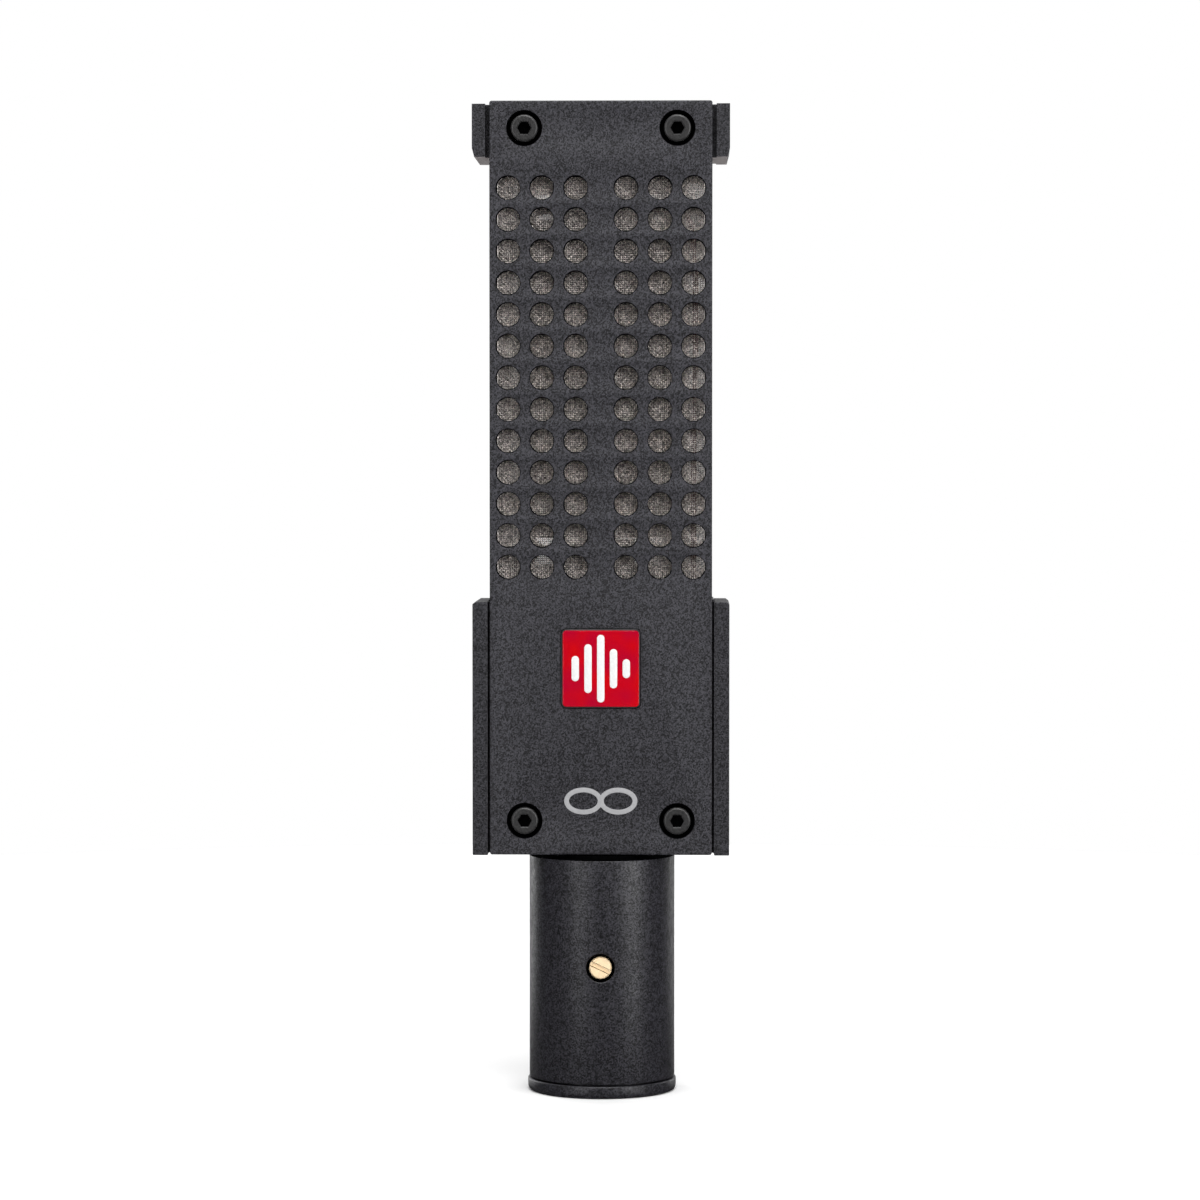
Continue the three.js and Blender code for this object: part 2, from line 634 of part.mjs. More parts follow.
// Ring pressed into the stem's open end, with a rounded outer edge.
function endRing() {
  const { radius, height, round, lead, spigotRadius, spigotTop } = RING;
  const roundSteps = 4;
  const edge = [];
  for (let step = 0; step <= roundSteps; step += 1) {
    const angle = (step / roundSteps) * QUARTER;
    edge.push([radius - round + round * Math.sin(angle), round - round * Math.cos(angle)]);
  }
  const ring = turned([
    [STEM.socketRadius + lead, 0],
    ...edge,
    [radius, height],
    [spigotRadius, height],
    [spigotRadius, spigotTop],
    [STEM.socketRadius, spigotTop],
    [STEM.socketRadius, lead],
    [STEM.socketRadius + lead, 0],
  ], SIDES.stem);
  return cut(ring, keywayTool(spigotTop + THROUGH));
}

// Pins one and two stand beside the keyway at the front, pin three at the back.
function pinPlaces() {
  return [210, 330, 90].map((degrees, index) => {
    const angle = THREE.MathUtils.degToRad(degrees);
    return { number: index + 1, x: PIN.circle * Math.cos(angle), y: PIN.circle * Math.sin(angle) };
  });
}

function connectorInsert() {
  const holes = pinPlaces().map(({ x, y }) => rodAlongZ(
    PIN.holeRadius, INSERT.bottom - THROUGH, INSERT.top + THROUGH, x, y,
  ));
  return cut(
    rodAlongZ(INSERT.radius, INSERT.bottom, INSERT.top, 0, 0, SIDES.insert),
    ...holes,
    rodAlongY(
      LOCK_SCREW.threadRadius, -INSERT.radius - THROUGH, -LOCK_SCREW.threadEnd,
      0, LOCK_SCREW.height, SIDES.head,
    ),
  );
}

// Round pin with a blunt tip below and a thinner solder tail above.
function connectorPin() {
  const tipRound = PIN.radius / 2;
  return turned([
    [0, PIN.tip],
    [PIN.radius - tipRound, PIN.tip],
    [PIN.radius, PIN.tip + tipRound],
    [PIN.radius, PIN.shoulder],
    [PIN.tailRadius, PIN.shoulder],
    [PIN.tailRadius, PIN.tailTop],
    [0, PIN.tailTop],
  ], SIDES.shank);
}

// ---------------------------------------------------------------------------------------------------
// Leads
// ---------------------------------------------------------------------------------------------------

// Last stretch of a ribbon lead, through the cross bar and the can's side wall.
function canEntry(side) {
  const { passX, passY, entryHeight } = LEAD;
  return [
    [side * passX, passY, CROSS_BAR.top],
    [side * passX, passY, CROSS_BAR.bottom],
    [side * (passX + 0.2), passY - 1.6, CROSS_BAR.bottom - 3.5],
    [side * passX, 0.4, entryHeight + 1],
    [side * (CAN.halfWidth + 1), 0, entryHeight],
    [side * (CAN.halfWidth - 1), 0, entryHeight],
  ];
}

// From the top ribbon base, down beside the right rail and through the cross bar to the transformer.
function topRibbonLead() {
  const start = RAIL_TOP - CLAMP.height / 2;
  return leadThrough([
    [2, CLAMP.ribbonRoom + CLAMP.baseThickness + 1, start],
    [6, 5.75, start],
    [14.2, 5.75, start - 1],
    [LEAD.passX, LEAD.passY, start - 6],
    [LEAD.passX, LEAD.passY, CROSS_BAR.top + 20],
    ...canEntry(1),
  ], LEAD.radius);
}

// From the bottom ribbon base, past the left rail and through the cross bar to the transformer.
function bottomRibbonLead() {
  const start = RAIL_BOTTOM + CLAMP.height / 2;
  return leadThrough([
    [-2, CLAMP.ribbonRoom + CLAMP.baseThickness + 1, start],
    [-6, 5.75, start],
    [-14.2, 5.75, start - 1],
    [-LEAD.passX, LEAD.passY, start - 5],
    ...canEntry(-1),
  ], LEAD.radius);
}

// From the transformer, down through the spigot's bore to the tail of one pin.
function outputLead({ x, y }) {
  const bundle = OUTPUT_LEAD.bundleRadius / PIN.circle;
  const tail = PIN.tailTop + 2 * REST_GAP;
  return leadThrough([
    [x * bundle, y * bundle, OUTPUT_LEAD.top],
    [x * bundle, y * bundle, LOWER_BLOCK_TOP - 4],
    [x * bundle, y * bundle, SPIGOT.bottom + 2],
    [x * 0.75, y * 0.75, SPIGOT.bottom - 2],
    [x, y, tail],
  ], OUTPUT_LEAD.radius, 1.6);
}

// ---------------------------------------------------------------------------------------------------
// Assembly
// ---------------------------------------------------------------------------------------------------

const TO_FRONT = [QUARTER, 0, 0];
const TO_REAR = [-QUARTER, 0, 0];
const HALF_TURN = [0, 0, Math.PI];

function addPiece(group, name, geometry, look, place = [0, 0, 0], turn = [0, 0, 0]) {
  const mesh = new THREE.Mesh(geometry, new THREE.MeshStandardMaterial(LOOKS[look]));
  mesh.name = name;
  mesh.position.set(...place);
  mesh.rotation.set(...turn);
  group.add(mesh);
}

function housing() {
  const group = new THREE.Group();
  addPiece(group, 'front_plate', grillePlate(true), 'body');
  addPiece(group, 'rear_plate', grillePlate(false), 'body', [0, 0, 0], HALF_TURN);
  addPiece(group, 'badge', badge(), 'badge');
  addPiece(group, 'lower_bracket', lowerBracket(), 'body');
  addPiece(group, 'top_bracket', topBracket(), 'body');
  addPiece(group, 'cross_bar', crossBar(), 'body');
  const screwFace = PLATE.face + CAP_SCREW.proud;
  for (const { corner, x, z } of cornerScrewPlaces()) {
    addPiece(group, `front_screw_${corner}`, capScrew(CAP_SCREW), 'blackSteel', [x, -screwFace, z], TO_FRONT);
    addPiece(group, `rear_screw_${corner}`, capScrew(CAP_SCREW), 'blackSteel', [x, screwFace, z], TO_REAR);
  }
  const wingScrewHeight = (CROSS_BAR.bottom + CROSS_BAR.top) / 2;
  for (const [name, side] of [['left_wing_screw', -1], ['right_wing_screw', 1]]) {
    const place = [side * WING.outer, 0, wingScrewHeight];
    addPiece(group, name, countersunkScrew(WING_SCREW), 'blackSteel', place, [0, side * QUARTER, 0]);
  }
  return group;
}

function screens() {
  const group = new THREE.Group();
  addPiece(group, 'front_screen', faceScreen(), 'mesh');
  addPiece(group, 'rear_screen', faceScreen(), 'mesh', [0, 0, 0], HALF_TURN);
  addPiece(group, 'right_side_screen', sideScreen(), 'mesh');
  addPiece(group, 'left_side_screen', sideScreen(), 'mesh', [0, 0, 0], HALF_TURN);
  return group;
}

function motor() {
  const group = new THREE.Group();
  const topPad = cut(damperPad(MOTOR_TOP), ...motorScrewClearances(MOTOR_TOP, EAR.bottom));
  const topPlate = cut(endPlate(RAIL_TOP), ...motorScrewClearances(RAIL_TOP, MOTOR_TOP));
  addPiece(group, 'top_damper_pad', topPad, 'rubber');
  addPiece(group, 'bottom_damper_pad', damperPad(CROSS_BAR.top), 'rubber');
  addPiece(group, 'motor_top_plate', topPlate, 'steel');
  addPiece(group, 'motor_bottom_plate', endPlate(MOTOR_BOTTOM), 'steel');
  for (const [side, turn] of [['right', [0, 0, 0]], ['left', HALF_TURN]]) {
    addPiece(group, `${side}_yoke_rail`, rail(), 'steel', [0, 0, 0], turn);
    addPiece(group, `${side}_magnet`, magnet(), 'magnet', [0, 0, 0], turn);
    addPiece(group, `${side}_pole_piece`, polePiece(), 'steel', [0, 0, 0], turn);
    const screwX = side === 'right' ? MOTOR_SCREW.x : -MOTOR_SCREW.x;
    const screwTop = EAR.top - MOTOR_SCREW.sunk;
    addPiece(group, `${side}_motor_screw`, capScrew(MOTOR_SCREW), 'blackSteel', [screwX, 0, screwTop]);
  }
  addPiece(group, 'ribbon', ribbon(), 'foil');
  for (const [end, bottom] of [['top', RAIL_TOP - CLAMP.height], ['bottom', RAIL_BOTTOM]]) {
    addPiece(group, `${end}_ribbon_base`, ribbonBase(bottom), 'laminate');
    addPiece(group, `${end}_ribbon_clamp`, ribbonClamp(bottom), 'brass');
    const headTop = -CLAMP.ribbonRoom - CLAMP.barThickness - CLAMP_SCREW.headHeight - REST_GAP;
    for (const [side, x] of [['left', -CLAMP_SCREW.x], ['right', CLAMP_SCREW.x]]) {
      const place = [x, headTop, bottom + CLAMP.height / 2];
      addPiece(group, `${end}_clamp_screw_${side}`, capScrew(CLAMP_SCREW), 'steel', place, TO_FRONT);
    }
  }
  return group;
}

function transformer() {
  const group = new THREE.Group();
  addPiece(group, 'transformer_can', transformerCan(), 'can');
  addPiece(group, 'transformer_lid', transformerLid(), 'can');
  addPiece(group, 'transformer_core', transformerCore(), 'steel');
  addPiece(group, 'transformer_winding', transformerWinding(), 'copper');
  return group;
}

function stem() {
  const group = new THREE.Group();
  addPiece(group, 'stem_tube', stemTube(), 'stem');
  addPiece(group, 'end_ring', endRing(), 'stem');
  addPiece(group, 'connector_insert', connectorInsert(), 'plastic');
  addPiece(group, 'lock_screw', lockScrew(), 'brass', [0, -LOCK_SCREW.face, LOCK_SCREW.height], TO_FRONT);
  for (const pin of pinPlaces()) {
    addPiece(group, `connector_pin_${pin.number}`, connectorPin(), 'silver', [pin.x, pin.y, 0]);
  }
  return group;
}

function leads() {
  const group = new THREE.Group();
  addPiece(group, 'top_ribbon_lead', topRibbonLead(), 'redWire');
  addPiece(group, 'bottom_ribbon_lead', bottomRibbonLead(), 'blackWire');
  const looks = ['blackWire', 'redWire', 'blueWire'];
  pinPlaces().forEach((pin, index) => {
    addPiece(group, `output_lead_${pin.number}`, outputLead(pin), looks[index]);
  });
  return group;
}

const microphone = new THREE.Group();
microphone.add(housing(), screens(), motor(), transformer(), stem(), leads());

export default microphone;
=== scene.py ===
"""Looks of the ribbon microphone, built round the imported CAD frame.

Metres. +Z runs up the body, -Y is the front and +X is to the right as seen from the front. A flat
piece is made in its own frame, with z outwards from its face and y up, and is then turned into place.
"""

import math

import bmesh
import bpy
import numpy as np
from mathutils import Matrix, Vector
from mathutils.geometry import tessellate_polygon


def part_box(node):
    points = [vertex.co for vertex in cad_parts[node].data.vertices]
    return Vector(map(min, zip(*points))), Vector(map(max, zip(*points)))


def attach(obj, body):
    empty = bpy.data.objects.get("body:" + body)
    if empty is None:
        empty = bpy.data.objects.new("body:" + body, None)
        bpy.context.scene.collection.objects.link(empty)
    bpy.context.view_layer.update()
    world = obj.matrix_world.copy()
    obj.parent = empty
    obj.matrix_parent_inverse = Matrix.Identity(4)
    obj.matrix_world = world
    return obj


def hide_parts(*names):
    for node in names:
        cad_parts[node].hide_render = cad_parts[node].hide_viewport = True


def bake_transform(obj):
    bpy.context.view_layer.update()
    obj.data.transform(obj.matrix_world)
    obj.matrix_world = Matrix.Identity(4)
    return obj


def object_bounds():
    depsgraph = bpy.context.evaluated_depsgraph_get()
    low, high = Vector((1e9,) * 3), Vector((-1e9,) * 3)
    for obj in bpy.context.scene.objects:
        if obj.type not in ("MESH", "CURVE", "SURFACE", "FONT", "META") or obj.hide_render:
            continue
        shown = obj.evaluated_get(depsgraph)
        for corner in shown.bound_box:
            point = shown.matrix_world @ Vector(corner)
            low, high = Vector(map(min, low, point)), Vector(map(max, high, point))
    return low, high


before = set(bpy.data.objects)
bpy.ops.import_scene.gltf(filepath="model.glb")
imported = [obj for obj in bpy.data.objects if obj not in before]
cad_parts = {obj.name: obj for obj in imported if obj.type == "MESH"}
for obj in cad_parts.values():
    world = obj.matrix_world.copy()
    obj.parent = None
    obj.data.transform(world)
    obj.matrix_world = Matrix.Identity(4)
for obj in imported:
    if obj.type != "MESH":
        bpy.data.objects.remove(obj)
cad_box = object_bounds()

MM = 0.001
TURN = 2 * math.pi
BODY = "microphone"
LOCK_BODY = "locking_screw"

FACING = {
    "up": Matrix.Identity(4),
    "front": Matrix.Rotation(TURN / 4, 4, "X"),
    "rear": Matrix.Rotation(TURN / 2, 4, "Z") @ Matrix.Rotation(TURN / 4, 4, "X"),
    "right": Matrix.Rotation(TURN / 4, 4, "Z") @ Matrix.Rotation(TURN / 4, 4, "X"),
    "left": Matrix.Rotation(-TURN / 4, 4, "Z") @ Matrix.Rotation(TURN / 4, 4, "X"),
}

# ---- Sizes that the CAD boxes don't give ----

EDGE = 0.2 * MM  # rounding of machined edges
FINE_EDGE = 0.08 * MM
HOLE_EDGE = 0.6 * EDGE

GRILLE_HOLE_RADIUS = 1.95 * MM
GRILLE_COLUMNS = [4.17 * MM, 9.8 * MM, 15.4 * MM]
GRILLE_ROWS = 13
GRILLE_TOP_MARGIN = 14.4 * MM  # from the plate's top down to the first row
GRILLE_HEIGHT = 62.9 * MM  # from the lowest row to the highest
GRILLE_WEB = 1.6 * MM  # plate left in front of the screen
SCREEN_GAP = 0.1 * MM
PLATE_CORNER = 0.4 * MM
COUNTERBORE_RADIUS = 2.88 * MM
COUNTERBORE_DEPTH = 1.35 * MM
CLEARANCE_RADIUS = 1.45 * MM
BADGE_POCKET_DEPTH = 0.45 * MM
BADGE_GAP = 0.15 * MM
BADGE_CORNER = 0.8 * MM
BADGE_RIM = 0.16 * MM
BADGE_BARS = [0.32, 0.62, 0.86, 0.5, 0.24]  # heights, as a share of the badge's side
PRINT_HEIGHT = 0.03 * MM
SIGN_HEIGHT = 49.5 * MM  # of the printed sign's middle above the floor
SIGN_SEAT = 0.002 * MM  # gap between the print and the plate

MESH_PITCH = 0.32 * MM
WIRE_HALF_WIDTH = 0.105 * MM  # the wires are rolled flat
REAR_SHIFT = 0.1 * MM  # so that the openings of the two screens never line up over a whole hole
MOST_TRIANGLES = 190_000  # in one piece of a screen

CAP_SCREW = {"head": 1.7 * MM, "shank": 1.25 * MM, "flats": 2 * MM, "depth": 1.1 * MM}
WING_SCREW = {"head": 1.0 * MM, "shank": 1.0 * MM, "flats": 1.25 * MM, "depth": 0.7 * MM}

HOLE_SIDES = 40
HEAD_SIDES = 60
STEM_SIDES = 192
ROUND_SIDES = 96  # insert and floor
LOCK_SIDES = 72
PIN_SIDES = 36

# ---- Mesh building ----


def ring(radius, z, sides=HEAD_SIDES, x=0.0, y=0.0):
    """Circle round the z axis, or round (x, y)."""
    angles = (TURN * i / sides for i in range(sides))
    return [(x + radius * math.cos(a), y + radius * math.sin(a), z) for a in angles]


def hexagon(flats, z):
    """Hexagon with its points at the angles that ring() uses, corners on the x axis."""
    points = []
    for i in range(HEAD_SIDES):
        angle = TURN * i / HEAD_SIDES
        from_middle_of_flat = (angle % (TURN / 6)) - TURN / 12
        radius = flats / 2 / math.cos(from_middle_of_flat)
        points.append((radius * math.cos(angle), radius * math.sin(angle), z))
    return points


def rounded_rectangle(low, high, radius, z, steps=5):
    """Rectangle from corner low to corner high, (x, y) each, with round corners."""
    centres = [
        (high[0] - radius, high[1] - radius),
        (low[0] + radius, high[1] - radius),
        (low[0] + radius, low[1] + radius),
        (high[0] - radius, low[1] + radius),
    ]
    points = []
    for quarter, (x, y) in enumerate(centres):
        for step in range(steps + 1):
            angle = (quarter + step / steps) * TURN / 4
            points.append((x + radius * math.cos(angle), y + radius * math.sin(angle), z))
    return points


def round_edge(size, steps=3):
    """(inset, depth) of points down a rounded edge, from (size, 0) to (0, size)."""
    for step in range(steps + 1):
        angle = step / steps * TURN / 4
        yield size * (1 - math.sin(angle)), size * (1 - math.cos(angle))


class Shell:
    """Closed mesh made of loops of points, walls between the loops, and flat caps."""

    def __init__(self):
        self.points = []
        self.faces = []
        self.flat = []
        self.inside = []
        self.dark = False  # faces added while this is set take the piece's second material, a near-black painted shade for hollows

    def loop(self, points):
        first = len(self.points)
        self.points.extend(Vector(p) for p in points)
        return list(range(first, len(self.points)))

    def wall(self, a, b, skip=()):
        """Quads between loops a and b, which have the same number of points."""
        for i in range(len(a)):
            j = (i + 1) % len(a)
            if i not in skip:
                self.faces.append((a[i], a[j], b[j], b[i]))
                self.flat.append(False)
                self.inside.append(self.dark)

    def stack(self, loops):
        """Adds the loops with a wall from each to the next. Returns the first and the last."""
        made = [self.loop(points) for points in loops]
        for a, b in zip(made, made[1:]):
            self.wall(a, b)
        return made[0], made[-1]

    def cap(self, outer, holes=()):
        """Flat face inside the loop outer and outside the holes."""
        rings = [outer, *holes]
        order = [index for indexes in rings for index in indexes]
        in_mm = [[self.points[i] / MM for i in indexes] for indexes in rings]
        for triangle in tessellate_polygon(in_mm):
            self.faces.append(tuple(order[i] for i in triangle))
            self.flat.append(True)
            self.inside.append(self.dark)

    def build(self, name, place=Matrix.Identity(4), sharp=40):
        """Object at place, its faces turned outwards, smooth except at edges sharper than sharp."""
        mesh = bpy.data.meshes.new(name)
        mesh.from_pydata(self.points, [], self.faces)
        mesh.polygons.foreach_set("use_smooth", [not flat for flat in self.flat])
        mesh.polygons.foreach_set("material_index", [int(inside) for inside in self.inside])
        work = bmesh.new()
        work.from_mesh(mesh)
        bmesh.ops.remove_doubles(work, verts=work.verts, dist=1e-7)
        bmesh.ops.recalc_face_normals(work, faces=work.faces)
        work.to_mesh(mesh)
        work.free()
        mesh.set_sharp_from_angle(angle=math.radians(sharp))
        piece = bpy.data.objects.new(name, mesh)
        piece.matrix_world = place
        bpy.context.scene.collection.objects.link(piece)
        return piece


def placed(x, y, z, facing="up"):
    return Matrix.Translation((x, y, z)) @ FACING[facing]


def middle(node):
    low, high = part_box(node)
    return (low + high) / 2


def show(piece, look, nodes, body=BODY, dark=None):
    """Gives the piece its materials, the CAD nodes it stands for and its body."""
    piece.data.materials.append(look)
    if dark:
        piece.data.materials.append(dark)
    if nodes:
        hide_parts(*nodes)
    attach(piece, body)
    return piece


def turned(name, profile, place, sides=HEAD_SIDES):
    """Solid of (radius, z) points turned round z, closed at both ends."""
    shell = Shell()
    first, last = shell.stack([ring(radius, z, sides) for radius, z in profile])
    shell.cap(first)
    shell.cap(last)
    return shell.build(name, place)


# ---- Materials ----


class Look:
    """A material's Principled shader and the nodes that feed it."""

    def __init__(self, name, color, roughness, metallic=0.0, **fixed):
        self.material = bpy.data.materials.new(name)
        self.material.use_nodes = True
        self.tree = self.material.node_tree
        self.shader = self.tree.nodes["Principled BSDF"]
        self.shader.inputs["Base Color"].default_value = (*color, 1)
        self.shader.inputs["Roughness"].default_value = roughness
        self.shader.inputs["Metallic"].default_value = metallic
        for socket, value in fixed.items():
            self.shader.inputs[socket.replace("_", " ")].default_value = value

    def node(self, kind):
        return self.tree.nodes.new("ShaderNode" + kind)

    def link(self, source, target):
        self.tree.links.new(source, target)

    def coordinates(self, stretch=(1, 1, 1)):
        """Object coordinates, stretched along each axis."""
        place = self.node("TexCoord")
        mapping = self.node("Mapping")
        mapping.inputs["Scale"].default_value = stretch
        self.link(place.outputs["Object"], mapping.inputs["Vector"])
        return mapping.outputs["Vector"]

    def noise(self, size, stretch=(1, 1, 1), detail=2.0):
        """Noise from 0 to 1 with blobs about size metres across."""
        texture = self.node("TexNoise")
        texture.inputs["Scale"].default_value = 1 / size
        texture.inputs["Detail"].default_value = detail
        self.link(self.coordinates(stretch), texture.inputs["Vector"])
        return texture.outputs["Fac"]

    def grains(self, size):
        """A random value for each grain, about size metres across."""
        texture = self.node("TexVoronoi")
        texture.inputs["Scale"].default_value = 1 / size
        self.link(self.coordinates(), texture.inputs["Vector"])
        return texture.outputs["Color"]

    def bands(self, pitch, axis, kind="BANDS", distortion=0.0):
        """Waves from 0 to 1 along an axis, or rings round it."""
        texture = self.node("TexWave")
        texture.wave_type = kind
        if kind == "BANDS":
            texture.bands_direction = axis
        else:
            texture.rings_direction = axis
        texture.inputs["Scale"].default_value = TURN / 20 / pitch
        texture.inputs["Distortion"].default_value = distortion
        self.link(self.coordinates(), texture.inputs["Vector"])
        return texture.outputs["Fac"]

    def spread(self, value, start, end, low, high):
        """value from start..end turned into low..high, and held there outside."""
        ranged = self.node("MapRange")
        for socket, number in zip(("From Min", "From Max", "To Min", "To Max"), (start, end, low, high)):
            ranged.inputs[socket].default_value = number
        self.link(value, ranged.inputs["Value"])
        return ranged.outputs["Result"]

    def vary_roughness(self, value, low, high):
        self.link(self.spread(value, 0.3, 0.7, low, high), self.shader.inputs["Roughness"])

    def vary_color(self, value, dark, light, start=0.3, end=0.7):
        mixed = self.node("Mix")
        mixed.data_type = "RGBA"
        mixed.inputs[6].default_value = (*dark, 1)
        mixed.inputs[7].default_value = (*light, 1)
        self.link(self.spread(value, start, end, 0, 1), mixed.inputs[0])
        self.link(mixed.outputs[2], self.shader.inputs["Base Color"])

    def paint_underside_light(self, color):
        """Painted light from below: another, lighter color on the faces that look straight down."""
        place = self.node("TexCoord")
        split = self.node("SeparateXYZ")
        self.link(place.outputs["Normal"], split.inputs[0])
        mixed = self.node("Mix")
        mixed.data_type = "RGBA"
        mixed.inputs[7].default_value = (*color, 1)
        socket = self.shader.inputs["Base Color"]
        self.link(socket.links[0].from_socket, mixed.inputs[6])
        self.link(self.spread(split.outputs["Z"], -0.6, -0.95, 0, 1), mixed.inputs[0])
        self.link(mixed.outputs[2], socket)

    def bump(self, value, height):
        """Relief of the given height in metres, on top of any relief already there."""
        node = self.node("Bump")
        node.inputs["Strength"].default_value = 1.0
        node.inputs["Distance"].default_value = height
        self.link(value, node.inputs["Height"])
        socket = self.shader.inputs["Normal"]
        if socket.is_linked:
            self.link(socket.links[0].from_socket, node.inputs["Normal"])
        self.link(node.outputs["Normal"], socket)


def shade(color, factor):
    return tuple(channel * factor for channel in color)


def powder_coat(name, color, roughness, grain, relief, gloss=0.45, underside_light=None):
    """Matt paint with a fine sandy grain and a slight orange peel. Given a second color, the faces
    that look down take it, as painted light from below."""
    look = Look(name, color, roughness)
    grains = look.grains(grain)
    look.vary_color(grains, shade(color, 0.3), shade(color, 2.0), 0.25, 0.8)
    shine = look.spread(grains, 0.25, 0.8, 0.7 * gloss, 1.25 * gloss)
    look.link(shine, look.shader.inputs["Specular IOR Level"])
    look.vary_roughness(look.noise(6 * grain), roughness - 0.07, roughness + 0.07)
    look.bump(look.noise(1.6 * grain), relief)
    if underside_light:
        look.paint_underside_light(underside_light)
    return look.material


def painted_recess_shade():
    """Dull near-black painted shade for the walls and floors of holes, sockets, grooves and the stem's
    step, where shadow falls, a little uneven in tone.
    """
    color = (0.0016, 0.0016, 0.0018)
    look = Look("recess_painted_shade", color, 0.7, Specular_IOR_Level=0.0)
    look.vary_color(look.noise(0.3 * MM), shade(color, 0.6), shade(color, 1.4))
    look.vary_roughness(look.noise(0.5 * MM), 0.62, 0.8)
    look.bump(look.noise(0.2 * MM), 0.01 * MM)
    return look.material


def black_oxide():
    """Blackened steel, a little browned, with a faint lathe grain."""
    color = (0.03, 0.0295, 0.03)
    look = Look("black_oxide", color, 0.36, 0.35, Specular_IOR_Level=0.6)
    look.vary_color(look.noise(0.4 * MM), shade(color, 0.7), shade(color, 1.5))
    look.vary_roughness(look.noise(0.25 * MM), 0.28, 0.46)
    look.bump(look.bands(0.12 * MM, "Z", "RINGS", 0.4), 0.002 * MM)
    look.bump(look.noise(0.15 * MM), 0.004 * MM)
    return look.material


def enamel():
    """Red enamel, flooded thick and polished, with a shallow ripple."""
    color = (0.37, 0.0005, 0.0105)
    look = Look("red_enamel", color, 0.22, Specular_IOR_Level=0.12, Coat_Weight=0.2)
    look.vary_color(look.noise(5 * MM, detail=1.0), (0.31, 0.0003, 0.018), (0.43, 0.0006, 0.003))
    look.vary_roughness(look.noise(0.5 * MM), 0.16, 0.26)
    look.bump(look.noise(3 * MM, detail=1.0), 0.01 * MM)
    return look.material


def print_ink(name, color):
    """Screen-printed ink, slightly uneven at its surface."""
    look = Look(name, color, 0.45)
    look.vary_color(look.noise(0.3 * MM), shade(color, 0.9), color)
    look.vary_roughness(look.noise(0.2 * MM), 0.38, 0.55)
    look.bump(look.noise(0.12 * MM), 0.004 * MM)
    return look.material


def wire_metal():
    """Drawn stainless wire, a little uneven in tone."""
    color = (0.66, 0.6, 0.57)
    look = Look("screen_wire", color, 0.3, 0.9)
    look.vary_color(look.grains(0.25 * MM), shade(color, 0.4), shade(color, 1.45), 0.25, 0.8)
    look.vary_roughness(look.noise(0.3 * MM), 0.24, 0.38)
    return look.material


def machined(name, color, roughness, pitch, metallic=1.0, axis="Z", kind="BANDS"):
    """Metal with the fine even marks of a cutter or a polishing belt, and small scratches."""
    look = Look(name, color, roughness, metallic)
    look.vary_color(look.noise(0.8 * MM), shade(color, 0.82), color)
    look.vary_roughness(look.noise(0.12 * MM, (1, 1, 0.1)), roughness - 0.08, roughness + 0.08)
    look.bump(look.bands(pitch, axis, kind, 0.6), 0.002 * MM)
    look.bump(look.noise(0.06 * MM, (1, 0.05, 1)), 0.002 * MM)
    return look.material


def moulded(name, color, roughness, grain=0.12 * MM, height=0.006 * MM):
    """Moulded plastic or rubber with a fine even texture."""
    look = Look(name, color, roughness)
    look.vary_color(look.noise(0.9 * MM), shade(color, 0.8), shade(color, 1.2))
    look.vary_roughness(look.noise(0.4 * MM), roughness - 0.06, roughness + 0.06)
    look.bump(look.noise(grain), height)
    return look.material


def laminations():
    """Stacked iron sheets, seen edge on."""
    look = Look("core_sheets", (0.2, 0.19, 0.18), 0.45, 0.8)
    sheets = look.bands(0.35 * MM, "Y")
    look.vary_color(sheets, (0.06, 0.055, 0.05), (0.3, 0.29, 0.27), 0.1, 0.5)
    look.vary_roughness(look.noise(0.3 * MM), 0.38, 0.55)
    look.bump(sheets, 0.02 * MM)
    return look.material


def winding():
    """Enamelled copper wire wound in even layers."""
    look = Look("copper_winding", (0.55, 0.16, 0.05), 0.3, 0.9)
    turns = look.bands(0.25 * MM, "Z", distortion=0.3)
    look.vary_color(turns, (0.3, 0.07, 0.02), (0.66, 0.22, 0.08), 0.1, 0.7)
    look.vary_roughness(look.noise(0.4 * MM), 0.22, 0.38)
    look.bump(turns, 0.05 * MM)
    return look.material


def floor_paint():
    look = Look("studio_floor", (0.86, 0.86, 0.86), 0.7, Specular_IOR_Level=0.2)
    look.vary_color(look.noise(60 * MM), (0.85, 0.85, 0.85), (0.87, 0.87, 0.87))
    return look.material


# ---- Front and rear plates ----


def grille_places(low, high):
    """Centres of the sound holes, in the plate's own frame."""
    top = high[1] - GRILLE_TOP_MARGIN
    pitch = GRILLE_HEIGHT / (GRILLE_ROWS - 1)
    rows = [top - pitch * row for row in range(GRILLE_ROWS)]
    return [(side * x, y) for y in rows for x in GRILLE_COLUMNS for side in (-1, 1)]


def hole(shell, x, y, radius, start, end):
    """Hole from z start down to z end with both edges rounded. Returns its first and last loop."""
    upper = [(radius + inset, start - depth) for inset, depth in round_edge(HOLE_EDGE)]
    lower = [(radius + inset, end + depth) for inset, depth in round_edge(HOLE_EDGE)]
    profile = upper + lower[::-1]
    # The hole's walls and rounded edges take the piece's second material, a painted shadow inside the
    # hole.
    shell.dark = True
    ends = shell.stack([ring(r, z, HOLE_SIDES, x, y) for r, z in profile])
    shell.dark = False
    return ends


def counterbore(shell, x, y, end):
    """Stepped hole for a cap screw. Returns its first and last loop."""
    profile = [(COUNTERBORE_RADIUS + inset, -depth) for inset, depth in round_edge(HOLE_EDGE)]
    profile += [(COUNTERBORE_RADIUS, -COUNTERBORE_DEPTH), (CLEARANCE_RADIUS, -COUNTERBORE_DEPTH)]
    profile += [(CLEARANCE_RADIUS, end)]
    # The counterbore's rounded edge, wall, step and clearance hole take the second material, a painted
    # shadow round the screw head.
    shell.dark = True
    ends = shell.stack([ring(r, z, HEAD_SIDES, x, y) for r, z in profile])
    shell.dark = False
    return ends


